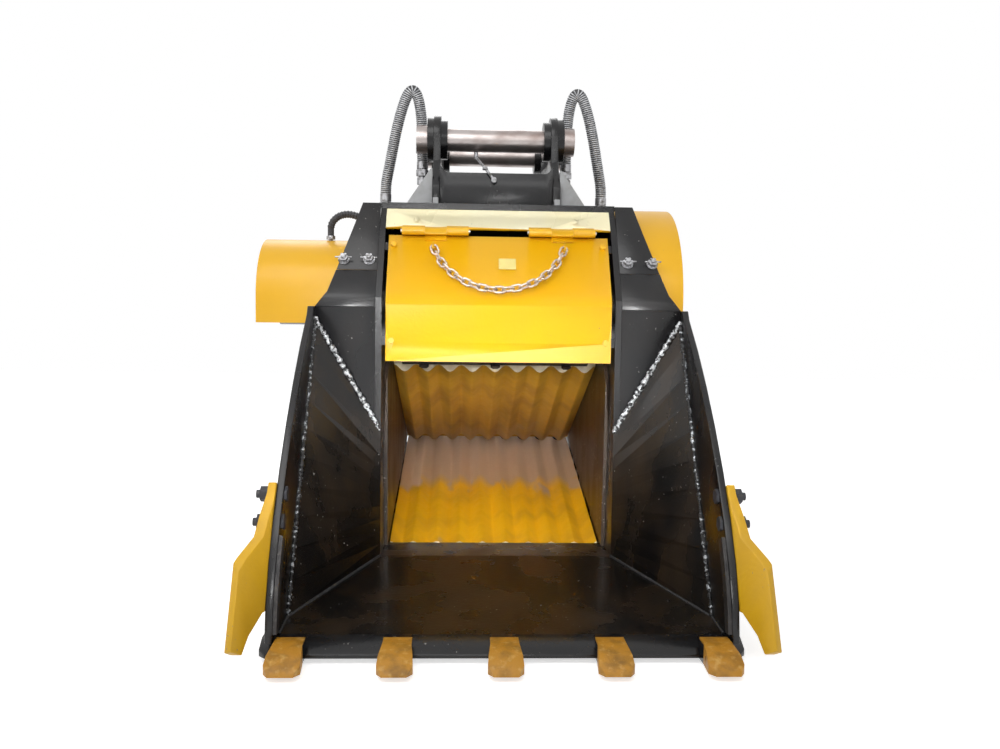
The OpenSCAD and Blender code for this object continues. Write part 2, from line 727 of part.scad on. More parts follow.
// Rear crossmember: box beam with the shelf and guide of the adjusting block, and the rod's lug
rod_z = 335;
rod_r = 9;
lug_y = mouth_d + 1060;
lug_t = 14;
adjust_xs = [-150, 150];
adjust_r = 12;
module rear_crossmember() {
  t = floor_t;
  shelf_y = toggle_e[0] - 12;
  guide_y = toggle_e[0] + toggle_r + 14;
  block_top = beam_low + t + 2 * block_half;
  color(black) placed() difference() {
    union() {
      slab_mid(body_in, [[beam_y, beam_low], [rear_y, beam_low], [rear_y, beam_high],
        [beam_y, beam_high]]);
      slab_mid(body_in, [[shelf_y, beam_low], [beam_y + t, beam_low], [beam_y + t, beam_low + t - gap],
        [shelf_y, beam_low + t - gap]]);
      slab_mid(body_in, [[guide_y, block_top + gap], [beam_y + t, block_top + gap],
        [beam_y + t, block_top + t], [guide_y, block_top + t]]);
      block([-2 * rod_r, lug_y, rod_z - 3 * rod_r], [2 * rod_r, lug_y + lug_t, beam_low + over]);
    }
    slab_mid(body_in - 2 * t, [[beam_y + t, beam_low + t], [rear_y - t, beam_low + t],
      [rear_y - t, beam_high - t], [beam_y + t, beam_high - t]]);
    for (x = adjust_xs)
      rod_y(x, beam_y - over, beam_low + t + block_half, rear_y - beam_y + 2 * over, adjust_r + gap);
    for (z = [rod_z, rod_z + 2.2 * throw]) rod_y(0, lug_y - over, z, lug_t + 2 * over, rod_r + 2);
    block([-rod_r - 2, lug_y - over, rod_z], [rod_r + 2, lug_y + lug_t + over, rod_z + 2.2 * throw]);
  }
}

// Adjusting block behind the toggle, with its two screws, lock nuts and handles' hexagons
module adjusting_block() {
  t = floor_t;
  z = beam_low + t + block_half;
  w = body_in - 60;
  color(iron) placed() difference() {
    union() {
      block([-w / 2, beam_y - adjust_l - 4 - block_l, beam_low + t],
        [w / 2, beam_y - adjust_l - 4, z + block_half]);
      for (x = adjust_xs) {
        rod_y(x, beam_y - adjust_l - 5, z, rear_y - beam_y + adjust_l + 30, adjust_r);
        translate([x, rear_y + gap, z]) rotate([-90, 0, 0]) hex(12, 36);
      }
    }
    rod_x(-w, 2 * w, toggle_r + gap, toggle_e[0], toggle_e[1]);
  }
}

// Toggle plate with rounded ends
module toggle_plate() {
  w = body_in - 120;
  color(iron) placed() union() {
    rod_x(-w / 2, w, toggle_r, toggle_f[0], toggle_f[1]);
    rod_x(-w / 2, w, toggle_r, toggle_e[0], toggle_e[1]);
    translate([-w / 2, toggle_f[0], toggle_f[1]]) rotate([toggle_a, 0, 0])
      translate([0, 0, -toggle_r * 0.7]) cube([w, toggle_l, toggle_r * 1.4]);
  }
}

// Pitman: hub barrel, front plate behind the moving jaw, ribs, toggle pad and rod lug
hub_r = 115;
hub_w = 410;
pitman_bore_r = 90;
crank_z = shaft_z - throw;
back_t = 34;
module pitman() {
  w = jaw_w;
  rib_t = 25;
  top = -clamp_w - 8;
  end = moving_l + clamp_w;
  pad = toggle_f - (toggle_r + toggle_gap) * [cos(toggle_a), sin(toggle_a)];
  pad_h = 40;
  pad_hi = pad + pad_h * [-sin(toggle_a), cos(toggle_a)];
  pad_lo = pad - pad_h * [-sin(toggle_a), cos(toggle_a)];
  line = [moving_pt(top, jaw_t + 1), [shaft_y - hub_r, crank_z], [shaft_y + hub_r, crank_z],
    pad_hi, pad_lo, moving_pt(end, jaw_t + 1)];
  color(yellow) placed() difference() {
    union() {
      on_moving() block([-w / 2, top, jaw_t], [w / 2, end, jaw_t + back_t]);
      on_moving() block([-w / 2, moving_l + gap, rib_d], [w / 2, end, jaw_t + back_t]);
      rod_x(-hub_w / 2, hub_w, hub_r, shaft_y, crank_z);
      for (x = [-hub_w / 2, -hub_w / 5, hub_w / 5 - rib_t, hub_w / 2 - rib_t]) difference() {
        slab(x, rib_t, line);
        rod_x(x - over, rib_t + 2 * over, hub_r / 2, (shaft_y + pad[0]) / 2 + hub_r * 0.3,
          (crank_z + pad[1]) / 2 - hub_r / 5);
      }
      slab_mid(hub_w, [pad_hi, pad_lo, pad_lo - [back_t, -back_t / 4], pad_hi - [back_t, -back_t / 4]]);
      block([-2 * rod_r, pad_lo[0] - 30, rod_z - 2 * rod_r],
        [2 * rod_r, pad_lo[0] + 12, rod_z + 2 * rod_r]);
      block([-2 * rod_r, pad_lo[0] - back_t, rod_z], [2 * rod_r, pad_lo[0] - over, pad_lo[1] + back_t / 2]);
    }
    rod_x(-hub_w, 2 * hub_w, pitman_bore_r, shaft_y, crank_z);
  }
}
crank_bearing_w = 70;
module pitman_bearings() {
  color(steel) placed() for (x = [-hub_w / 2 + 4, hub_w / 2 - 4 - crank_bearing_w]) difference() {
    rod_x(x, crank_bearing_w, pitman_bore_r, shaft_y, crank_z);
    rod_x(x - over, crank_bearing_w + 2 * over, crank_r + run_gap, shaft_y, crank_z);
  }
}

// Tension rod that holds the pitman against the toggle, with its spring, washer and nut
spring_r = 19;
wire_r = 3.2;
curls = 5;
spring_y = lug_y + lug_t + throw + 2;
spring_pitch = 9.5;
spring_l = curls * spring_pitch + 2 * wire_r;
rod_start = toggle_f[0] - (toggle_r + toggle_gap) * cos(toggle_a) + 40 * sin(toggle_a) + 12;
module tension_rod() {
  washer_t = 5;
  color(steel) placed() union() {
    rod_y(0, rod_start, rod_z, spring_y + spring_l + 4 * washer_t - rod_start, rod_r);
    rod_y(0, spring_y + spring_l + gap, rod_z, washer_t, spring_r + 2 * wire_r);
    translate([0, spring_y + spring_l + gap + washer_t - 1, rod_z]) rotate([-90, 0, 0])
      hex(washer_t * 2, 3.2 * rod_r);
  }
}
spring_turn = 8;
spring_sides = 6;
function spring_ring(k) = [for (j = [0:spring_sides - 1])
  let (a = 360 * k / spring_turn, b = 360 * j / spring_sides, r = spring_r + wire_r * cos(b))
  [r * cos(a), wire_r + spring_pitch * k / spring_turn + wire_r * sin(b), r * sin(a)]];
module tube_mesh(rings, sides) {
  n = len(rings);
  pts = [for (ring = rings, p = ring) p];
  faces = concat(
    [[for (j = [0:sides - 1]) j]], [[for (j = [sides - 1:-1:0]) (n - 1) * sides + j]],
    [for (i = [0:n - 2], j = [0:sides - 1]) let (a = i * sides + j, b = i * sides + (j + 1) % sides)
      [a, a + sides, b]],
    [for (i = [0:n - 2], j = [0:sides - 1]) let (a = i * sides + j, b = i * sides + (j + 1) % sides)
      [b, a + sides, b + sides]]);
  polyhedron(pts, faces);
}
module tension_spring() {
  color(steel) placed() translate([0, spring_y, rod_z])
    tube_mesh([for (k = [0:curls * spring_turn]) spring_ring(k)], spring_sides);
}
echo(spring_least_gap = spring_pitch - 2 * wire_r);

// Bearing housings on the main side plates: spigot, flange with bolts, barrel and end cap
flange_t = 18;
housing_x = body_out;
module bearing_housings() {
  bolts = 8;
  bolt_af = 20;
  barrel_r = bearing_r + 14;
  color(iron) placed() for (s = [-1, 1]) side(s) {
    difference() {
      union() {
        rod_x(body_half + 2, wall_t - 2, spigot_r, shaft_y, shaft_z);
        rod_x(housing_x, flange_t, housing_r, shaft_y, shaft_z);
        rod_x(housing_x, housing_w, barrel_r, shaft_y, shaft_z);
        for (k = [0:bolts - 1]) translate([housing_x + flange_t, shaft_y, shaft_z])
          rotate([360 * (k + 0.5) / bolts, 0, 0]) translate([0, 0, (bell_in_r + barrel_r) / 2])
            rotate([0, 90, 0]) hex(bolt_af / 2, bolt_af);
      }
      rod_x(body_half, housing_w + wall_t - flange_t / 2, bearing_r, shaft_y, shaft_z);
      rod_x(body_half, housing_w + wall_t + over, journal_r + 1, shaft_y, shaft_z);
    }
  }
}

// Main bearings in their housings
main_bearing_w = 50;
module main_bearings() {
  color(steel) placed() for (s = [-1, 1]) side(s) difference() {
    rod_x(housing_x + housing_w - flange_t / 2 - main_bearing_w, main_bearing_w, bearing_r,
      shaft_y, shaft_z);
    rod_x(body_half, 2 * housing_w, journal_r + run_gap, shaft_y, shaft_z);
  }
}

// Eccentric shaft: offset journal for the pitman, main journals and two ends
wheel_x = housing_x + housing_w + 10;
shaft_right = wheel_x + wheel_w + 4;
coupling_x = housing_x + housing_w + 6;
coupling_l = 80;
module eccentric_shaft() {
  color(steel) placed() union() {
    rod_x(-hub_w / 2 + 1, hub_w - 2, crank_r, shaft_y, crank_z);
    rod_x(-housing_x - housing_w - 2, 2 * (housing_x + housing_w + 2), journal_r, shaft_y, shaft_z);
    rod_x(0, shaft_right, end_r, shaft_y, shaft_z);
    rod_x(-coupling_x - coupling_l / 2 + gap, coupling_x + coupling_l / 2, end_r, shaft_y, shaft_z);
  }
}

// Flywheel: rim, dished web with lightening holes, hub; a counterweight fills one side of the web
module flywheel() {
  rim_t = 42;
  web_t = 24;
  hub = end_r + 30;
  holes = 6;
  hole_r = 26;
  mid = wheel_x + wheel_w / 2;
  turn_r = (wheel_r - rim_t + hub) / 2;
  color(iron) placed() difference() {
    union() {
      difference() {
        rod_x(wheel_x, wheel_w, wheel_r, shaft_y, shaft_z);
        rod_x(wheel_x - over, wheel_w + 2 * over, wheel_r - rim_t, shaft_y, shaft_z);
      }
      rod_x(mid - web_t / 2, web_t, wheel_r - rim_t + 1, shaft_y, shaft_z);
      rod_x(wheel_x, wheel_w, hub, shaft_y, shaft_z);
    }
    rod_x(wheel_x - over, wheel_w + 2 * over, end_r, shaft_y, shaft_z);
    for (k = [0:holes - 1]) rod_x(mid - web_t, 2 * web_t, hole_r,
      shaft_y + turn_r * cos(360 * k / holes), shaft_z + turn_r * sin(360 * k / holes));
  }
}

// Elastic coupling between the shaft and the motor: two hubs with jaws and their spider
coupling_r = 62;
module drive_coupling() {
  jaws = 6;
  spider_t = 18;
  key_r = 7;
  hub_l = (coupling_l - spider_t) / 2;
  mid_x = -coupling_x - coupling_l / 2;
  key_at = coupling_r - key_r - 1;
  color(iron) placed() difference() {
    union() {
      rod_x(-coupling_x - coupling_l, hub_l, coupling_r, shaft_y, shaft_z);
      rod_x(-coupling_x - hub_l, hub_l, coupling_r, shaft_y, shaft_z);
      rod_x(mid_x - spider_t / 2 - 1, spider_t + 2, coupling_r - key_r - 1, shaft_y, shaft_z);
      for (k = [0:jaws - 1]) rod_x(mid_x - spider_t / 2 - 1, spider_t + 2, key_r,
        shaft_y + key_at * cos(360 * k / jaws), shaft_z + key_at * sin(360 * k / jaws));
    }
    rod_x(mid_x, coupling_l, end_r, shaft_y, shaft_z);
    rod_x(-coupling_x - coupling_l - over, coupling_l, end_r / 2, shaft_y, shaft_z);
  }
}

// Hydraulic piston motor: flange, barrel, end cover and two ports
motor_flange_x = coupling_x + coupling_l + 12;
motor_l = 150;
motor_r = 78;
port_r = 16;
port_h = 34;
module drive_motor() {
  color(black) placed() union() {
    rod_x(-motor_flange_x - 20, 20, motor_r + 24, shaft_y, shaft_z);
    rod_x(-motor_flange_x - motor_l, motor_l, motor_r, shaft_y, shaft_z);
    rod_x(-motor_flange_x - motor_l - 12, 14, motor_r - 14, shaft_y, shaft_z);
    for (y = [-30, 30]) translate([-motor_flange_x - motor_l * 0.7, shaft_y + y, shaft_z])
      cylinder(h = motor_r + port_h / 2, r = port_r);
    for (a = [45:90:315]) rod_x(-motor_flange_x - 28, 10, 9,
      shaft_y + (motor_r + 10) * cos(a), shaft_z + (motor_r + 10) * sin(a));
  }
}

// Bell housing that carries the motor on the bearing housing
module motor_bracket() {
  wall = 12;
  bell_r = bell_in_r + wall;
  start = housing_x + flange_t;
  pilot_r = 50;
  color(black) placed() difference() {
    rod_x(-motor_flange_x, motor_flange_x - start, bell_r, shaft_y, shaft_z);
    rod_x(-motor_flange_x + wall, motor_flange_x, bell_r - wall, shaft_y, shaft_z);
    rod_x(-motor_flange_x - over, wall + 2 * over, pilot_r, shaft_y, shaft_z);
    for (a = [0:60:120]) translate([-(motor_flange_x + start) / 2 - wall / 2, shaft_y, shaft_z])
      rotate([a, 0, 0]) translate([-24, -22, -bell_r - over]) cube([48, 44, 2 * (bell_r + over)]);
  }
}

// Round sheet cover over the flywheel, with an end face and an inner flange
module flywheel_cover() {
  color(yellow) placed() difference() {
    rod_x(body_out + gap, drum_x - body_out - gap, drum_r, shaft_y, shaft_z);
    rod_x(body_out - over, drum_x - body_out - sheet_t + over, drum_r - sheet_t, shaft_y, shaft_z);
    translate([0, 0, -over]) block([0, shaft_y - drum_r - over, 0], [body_out + 80, back_y + 40, deck_z]);
  }
}

// Arched sheet cover over the motor, with straight skirts and an end face
module arch(x, w, r, low) {
  rod_x(x, w, r, shaft_y, shaft_z);
  block([x, shaft_y - r, low], [x + w, shaft_y + r, shaft_z]);
}
module motor_cover() {
  low = shaft_z - 70;
  color(yellow) placed() difference() {
    arch(-motor_cover_x, motor_cover_x - body_out - gap, motor_cover_r, low);
    arch(-motor_cover_x + sheet_t, motor_cover_x, motor_cover_r - sheet_t, low - over);
    translate([drain_route[0][0], drain_route[0][1], shaft_z])
      cylinder(h = drum_r, r = drain_bore / 2 + 1 + gap);
    block([-motor_cover_x - over, 0, 0], [0, 2 * shaft_y, low]);
  }
}

// Heights of the cover's corner bolts, and the tabs on the main side plates that take them
cover_bolt_zs = [640, 895];
tab_w = 22;
tab_t = 10;
module cover_tabs() {
  h = 12;
  on_slope(face_at(cover_bolt_zs[1]), cover_bolt_zs[1], face_a)
    block([body_half - tab_w, -h, -sheet_t - tab_t], [body_half + over, h, -sheet_t - 1 - gap]);
  block([body_half - tab_w, mouth_d + 1 + sheet_t + gap, cover_bolt_zs[0] - h],
    [body_half + over, mouth_d + sheet_t + tab_t, cover_bolt_zs[0] + h]);
}

// Access cover: one bent sheet with the middle knuckles, corner washers and bolts, chain lugs
cover_low = 586;
cover_half = 297;
cover_bend_r = 70;
cover_top = 12;
lug_x = 176;
lug_up_share = 0.7308;
lug_up = bend_z + (hinge_z - bend_z) * lug_up_share;
chain_lug_r = 10;
chain_wire_r = 3;
lug_w = 5;
cover_face = concat([[mouth_d + 1, cover_low]],
  corner([mouth_d + 1, cover_low], [mouth_d + 1, bend_z], [hinge_y, hinge_z], cover_bend_r, 8),
  [[face_at(hinge_z - cover_top) + 1, hinge_z - cover_top]]);
module access_cover() {
  bolt_af = 15;
  spots = [for (x = [-1, 1], z = cover_bolt_zs) [x * (cover_half - bolt_af), z]];
  color(yellow) placed() difference() {
    union() {
      slab_mid(2 * cover_half, sheet(cover_face, -sheet_t));
      for (x = hinge_xs) {
        knuckle(x, 1, gap);
        a = x + hinge_l * knuckle_shares[1] + gap;
        b = x + hinge_l * knuckle_shares[2] - gap;
        on_slope(hinge_y, hinge_z, face_a) translate([a, -cover_top * 2.5, -over])
          cube([b - a, cover_top * 2.5, 3 + over]);
      }
      for (p = spots) if (p[1] < bend_z) {
        translate([p[0], mouth_d + 1 + over / 2, p[1]]) rotate([90, 0, 0]) {
          cylinder(h = 3, r = bolt_af * 0.6);
          hex(bolt_af / 2, bolt_af);
        }
      } else on_slope(face_at(p[1]), p[1], face_a) translate([p[0], 0, -over]) {
        cylinder(h = 4, r = bolt_af * 0.6);
        hex(bolt_af / 2, bolt_af);
      }
      for (s = [-1, 1]) on_lugs() translate([s * (lug_x + lug_out * cos(chain_arc_a)) - lug_w / 2,
        lug_out * sin(chain_arc_a), 0]) difference() {
          union() {
            rotate([0, 90, 0]) cylinder(h = lug_w, r = chain_lug_r);
            translate([0, -chain_lug_r, -chain_lug_r - 2 * over])
              cube([lug_w, 2 * chain_lug_r, chain_lug_r + 2 * over]);
          }
          translate([-over, 0, 0]) rotate([0, 90, 0])
            cylinder(h = lug_w + 2 * over, r = 2.2 * chain_wire_r);
        }
    }
    for (x = hinge_xs) knuckle_bore(x);
  }
}

// Chain between the cover's lugs, on a round arc, each link turned a quarter from the last
chain_sag = 134;
chain_links = 21;
chain_arc_r = (lug_x * lug_x + chain_sag * chain_sag) / (2 * chain_sag);
chain_arc_a = asin(lug_x / chain_arc_r) + (chain_sag > chain_arc_r ? 90 : 0);
chain_pitch = 2 * chain_arc_r * sin(chain_arc_a / chain_links);
link_w = 8 * chain_wire_r - gap;
lug_out = chain_wire_r + 2 * gap;
link_l = chain_pitch + 4 * chain_wire_r + 3 * gap;
module chain_link() {
  straight = link_l - link_w;
  for (s = [-1, 1]) {
    translate([s * straight / 2, 0, 0]) rotate([0, 0, s > 0 ? -90 : 90]) rotate_extrude(angle = 180)
      translate([link_w / 2 - chain_wire_r, 0]) circle(chain_wire_r, $fn = 16);
    translate([-straight / 2, s * (link_w / 2 - chain_wire_r), 0]) rotate([0, 90, 0])
      cylinder(h = straight, r = chain_wire_r, $fn = 16);
  }
}
module on_lugs() {
  on_slope(face_at(lug_up), lug_up, face_a) translate([0, 0, chain_lug_r + over]) children();
}
module cover_chain() {
  color(zinc) placed() on_lugs() for (k = [0:chain_links - 1]) {
    a = chain_arc_a * (2 * (k + 0.5) / chain_links - 1);
    r = chain_arc_r * cos(chain_arc_a / chain_links);
    translate([r * sin(a), chain_arc_r - chain_sag - r * cos(a), 0]) rotate([0, 0, a])
      rotate([90 * (k % 2), 0, 0]) chain_link();
  }
}

// Coupler: two ears on the deck with boss rings on both faces, bored for the pins
ear_in = arm_w / 2 + boss_t;
ear_out = ear_in + ear_t;
link_y = stick_y + pin_pitch;
link_z = stick_z + pin_rise;
deck_line = [[deck_y, deck_z], [slope_y, deck_z], [rear_y, rear_z]];
deck_kink = beside(deck_line, 1, deck_t);
function deck_on(y) = y < deck_kink[0] ? deck_z + deck_t
  : deck_kink[1] + (y - deck_kink[0]) * tan(deck_a);
ear_front = 160;
ear_rear = 140;
ear_y0 = stick_y - ear_front;
ear_y1 = link_y + ear_rear;
boss_r = 68;
boss_in_r = 60;
saddle = 62;
module coupler_ears() {
  color(black) placed() for (s = [-1, 1]) side(s) difference() {
    union() {
      slab(ear_in, ear_t, [
        [ear_y0, deck_on(ear_y0)], deck_kink, [ear_y1, deck_on(ear_y1)],
        [link_y + ear_r, link_z], [link_y - ear_r * 0.6, link_z + ear_r * 0.6],
        [link_y - 1.3 * saddle, link_z - saddle], [stick_y + 1.3 * saddle, stick_z - saddle],
        [stick_y + ear_r * 0.6, stick_z + ear_r * 0.6], [stick_y - ear_r, stick_z],
        [stick_y - ear_r, stick_z - ear_r], [ear_y0, deck_on(ear_y0) + ear_r]]);
      for (p = [[stick_y, stick_z], [link_y, link_z]]) {
        rod_x(ear_in, ear_t, ear_r, p[0], p[1]);
        rod_x(arm_w / 2, boss_t + 1, boss_in_r, p[0], p[1]);
        rod_x(ear_out - 1, boss_t + 1, boss_r, p[0], p[1]);
      }
    }
    for (p = [[stick_y, stick_z], [link_y, link_z]]) rod_x(0, 2 * ear_out, pin_r + gap / 3, p[0], p[1]);
  }
}

// Plates between and beside the ears: cross plates, gussets and the blocks at the ears' feet
cross_t = 16;
cross_y = stick_y - 148;
cross_z = stick_z - 120;
module cross_plate(y, z, top) {
  fillet = 24;
  translate([0, y + cross_t, 0]) rotate([90, 0, 0]) linear_extrude(cross_t) polygon(concat(
    [[-ear_in, z], [ear_in, z], [ear_in, top + fillet]],
    [for (a = [0:15:90]) [ear_in - fillet * sin(a), top + fillet * (1 - sin(a)) * (1 - sin(a))]],
    [for (a = [90:-15:0]) [-ear_in + fillet * sin(a), top + fillet * (1 - sin(a)) * (1 - sin(a))]],
    [[-ear_in, top + fillet]]));
}
gusset_w = 84;
gusset_h = 126;
module gusset(s, y) {
  t = 10;
  z = deck_on(y + t);
  side(s) translate([0, y + t, 0]) rotate([90, 0, 0]) linear_extrude(t) polygon([
    [ear_out, z], [ear_out + gusset_w, z], [ear_out + gusset_w, z + t], [ear_out + t / 2, z + gusset_h],
    [ear_out, z + gusset_h]]);
}
module coupler_plates() {
  block_w = 16;
  block_h = 36;
  rear = slope_y + 60;
  color(primer) placed() {
    cross_plate(cross_y, deck_z + deck_t, cross_z);
    difference() {
      cross_plate(rear, deck_on(rear + cross_t), cross_z - gusset_w / 2);
      slab_mid(2 * ear_in, [deck_kink, [rear_y, deck_on(rear_y)], [deck_kink[0], deck_on(rear_y)]]);
    }
    for (s = [-1, 1]) {
      gusset(s, cross_y + cross_t / 2);
      difference() {
        gusset(s, rear);
        slab_mid(3 * ear_out, [deck_kink, [rear_y, deck_on(rear_y)], [deck_kink[0], deck_on(rear_y)]]);
      }
      side(s) block([ear_in + 3, ear_y0 - block_w, deck_z + deck_t],
        [ear_in + 3 + block_w, ear_y0, deck_z + deck_t + block_h]);
    }
  }
}

// Coupler pins with an end collar on each side
collar_w = 34;
collar_r = 43;
module coupler_pin(y, z, w) {
  color(steel) placed() union() {
    rod_x(-w / 2, w, pin_r, y, z);
    for (s = [-1, 1]) side(s) rod_x(ear_out + boss_t + gap, collar_w, collar_r, y, z);
  }
}
module coupler_pins() {
  w = 2 * (ear_out + boss_t + collar_w + 1);
  coupler_pin(stick_y, stick_z, w);
  coupler_pin(link_y, link_z, w);
}

// Routes of the hoses: from the coupling beside the ear, over an arch, to the deck's edge.
// Offsets from the stick pin's axis, and from the shaft's axis for the drain hose.
hose_bends = [[232, 92, -54], [232, 92, -18], [233, 90, 50], [238, 84, 112], [249, 76, 158],
  [264, 72, 172], [281, 72, 156], [300, 74, 102], [318, 78, 30], [332, 84, -45],
  [344, 92, -100], [350, 100, -128], [350, 100, -158]];
hose_route = [for (p = hose_bends) p + [0, stick_y, stick_z]];
drain_bends = [[-484, -25, 183], [-484, -25, 205], [-478, -25, 224], [-460, -25, 240], [-434, -25, 246],
  [-405, -25, 240], [-376, -25, 227], [-354, -25, 227]];
drain_route = [for (p = drain_bends) p + [0, shaft_y, shaft_z]];

function catmull(a, b, c, d, t) = ((2 * b) + (c - a) * t + (2 * a - 5 * b + 4 * c - d) * t * t
  + (3 * b - a - 3 * c + d) * t * t * t) / 2;
function smooth(p, n) = concat([for (i = [0:len(p) - 2], k = [0:n - 1])
  i == 0 || i == len(p) - 2 ? p[i] + (p[i + 1] - p[i]) * k / n
  : catmull(p[i - 1], p[i], p[i + 1], p[i + 2], k / n)], [p[len(p) - 1]]);
function lengths(p, i = 0, sum = 0) = i == len(p) - 1 ? [sum]
  : concat([sum], lengths(p, i + 1, sum + norm(p[i + 1] - p[i])));
function seat_of(l, s) = max([0, for (i = [0:len(l) - 2]) if (l[i] <= s) i]);
function along(p, l, s) = let (i = seat_of(l, s)) p[i] + (p[i + 1] - p[i]) * (s - l[i]) / (l[i + 1] - l[i]);
function ring_at(p, l, s, r, ref, sides) =
  let (e = 2, total = l[len(l) - 1], c = along(p, l, s),
       t = unit(along(p, l, min(total, s + e)) - along(p, l, max(0, s - e))),
       b = unit(cross(t, ref)), n = cross(b, t))
  [for (j = [0:sides - 1]) c + r * (cos(360 * j / sides) * n + sin(360 * j / sides) * b)];

// Ribbed hose with its bore along a route: plain ends one diameter long, a rib every pitch
module ribbed_hose(route, d, bore, pitch, ref) {
  sides = 8;
  depth = d * 0.08;
  rib_share = 0.62;
  p = smooth(route, 8);
  l = lengths(p);
  total = l[len(l) - 1];
  ribs = floor((total - 2 * d) / pitch);
  step = (total - 2 * d) / ribs;
  bore_steps = ceil(total / d);
  outer = concat([ring_at(p, l, 0, d / 2 - depth, ref, sides)],
    [for (k = [0:ribs - 1], h = [0, 1]) ring_at(p, l, d + step * (k + h * rib_share),
      d / 2 - (h == 0 ? depth : 0), ref, sides)],
    [ring_at(p, l, total, d / 2 - depth, ref, sides)]);
  inner = [for (k = [bore_steps:-1:0]) ring_at(p, l, total * k / bore_steps, bore / 2, ref, sides)];
  rings = concat(outer, inner);
  n = len(rings);
  cells = [for (i = [0:n - 1], j = [0:sides - 1])
    [i * sides + j, ((i + 1) % n) * sides + j, i * sides + (j + 1) % sides,
     ((i + 1) % n) * sides + (j + 1) % sides]];
  polyhedron([for (ring = rings, q = ring) q],
    concat([for (c = cells) [c[0], c[1], c[2]]], [for (c = cells) [c[2], c[1], c[3]]]));
}
rib_pitch = 12.5;
drain_pitch = 8;
module pressure_hose(s) {
  color(iron) placed() side(s) ribbed_hose(hose_route, hose_d, hose_bore, rib_pitch, [0.97, 0.2, 0.1]);
}
module hose_left() pressure_hose(-1);
module hose_right() pressure_hose(1);

// A hose end along Z: ferrule, hexagon and stem, from the hose's end downwards for h
module hose_end(p, d, bore, h) {
  ferrule_h = 1.2 * bore;
  translate([p[0], p[1], p[2] - h]) {
    cylinder(h = h - 1, r = bore / 2 + 2);
    translate([0, 0, h - ferrule_h]) cylinder(h = ferrule_h - gap, r = d / 2);
    translate([0, 0, h - 2 * ferrule_h]) hex(ferrule_h * 0.9, d * 0.95);
  }
}

// A round bar between two points
module strut(a, b, r) {
  d = b - a;
  translate(a) rotate([0, acos(d[2] / norm(d)), atan2(d[1], d[0])]) cylinder(h = norm(d), r = r);
}

// Drain hose of the motor, from its cover to the main side plate
module drain_hose() {
  color(iron) placed() ribbed_hose(drain_route, drain_d, drain_bore, drain_pitch, [0.05, 1, 0.02]);
}

// Clamp that holds a hose's free end beside an ear
module hose_clamp() {
  strap = 16;
  leaf = 6;
  p = hose_route[1];
  low = stick_z - saddle;
  difference() {
    union() {
      translate([p[0], p[1], p[2] - strap / 2]) cylinder(h = strap, r = hose_d / 2 + leaf / 2);
      block([ear_out, p[1] - strap / 2, low - 2 * strap],
        [ear_out + leaf, p[1] + strap / 2, p[2] + strap / 2]);
      block([ear_out, p[1] - strap / 2, p[2] - strap / 2 + 1],
        [p[0] - hose_d / 2, p[1] + strap / 2, p[2] + strap / 2 - 1]);
    }
    translate([p[0], p[1], p[2] - strap]) cylinder(h = 2 * strap, r = hose_d / 2 + gap / 2);
  }
}

// Fittings: hose ends, brackets at the deck, tee with its plug, clamps on the ears,
// ends of the drain hose, and the grease line of the stick pin
module hose_fittings() {
  first = hose_route[0];
  last = hose_route[len(hose_route) - 1];
  pad_t = 14;
  half = 24;
  cap_h = 22;
  end_h = 50;
  tee_l = 80;
  tee_r = 13;
  tee_z = deck_z + 46;
  drain_in = drain_route[0];
  drain_out = drain_route[len(drain_route) - 1];
  drain_r = drain_bore / 2 + 1;
  nipple = [-60, stick_y, stick_z - pin_r - gap];
  grease_end = [-8, cross_y, cross_z - 22];
  grease_r = 4;
  grease_top = nipple - [0, 0, 4 * grease_r];
  grease_mid = [(nipple[0] + grease_end[0]) / 2, cross_y - 2 * grease_r, cross_z + 3 * grease_r];
  grease_low = [grease_end[0], cross_y - 2 * grease_r, grease_end[2]];
  color(zinc) placed() {
    for (s = [-1, 1]) side(s) {
      hose_end(first, hose_d, hose_bore, end_h);
      translate([first[0], first[1], first[2] - end_h - cap_h]) cylinder(h = cap_h, r = hose_d / 2 - 1);
      block([body_out, last[1] - half, deck_z - pad_t], [last[0] + half, last[1] + half, deck_z]);
      hose_end(last, hose_d, hose_bore, last[2] - deck_z);
      hose_clamp();
    }
    rod_x(last[0], tee_l, tee_r, last[1], tee_z);
    translate([last[0] + tee_l - gap, last[1], tee_z]) rotate([0, 90, 0]) hex(tee_r, 2.2 * tee_r);
    translate([drain_in[0], drain_in[1], drain_in[2] - drain_d / 2 + gap])
      hex(drain_d / 2 - 2 * gap, drain_d);
    translate([drain_in[0], drain_in[1], drain_in[2] - 2 * drain_d])
      cylinder(h = 2 * drain_d - gap, r = drain_r);
    translate([drain_out[0] + gap, drain_out[1], drain_out[2]]) rotate([0, 90, 0]) {
      hex(drain_d / 2, drain_d);
      cylinder(h = -body_out - drain_out[0] - gap, r = drain_r);
    }
    translate(grease_top - [0, 0, grease_r])
      cylinder(h = nipple[2] - grease_top[2] + grease_r, r = 1.5 * grease_r);
    strut(grease_top, grease_mid, grease_r);
    strut(grease_mid, grease_low, grease_r);
    rod_x(grease_mid[0] - 2 * grease_r, 4 * grease_r, 1.5 * grease_r, grease_mid[1], grease_mid[2]);
    rod_y(grease_end[0], cross_y - 4 * grease_r, grease_end[2], 4 * grease_r, 2 * grease_r);
  }
}

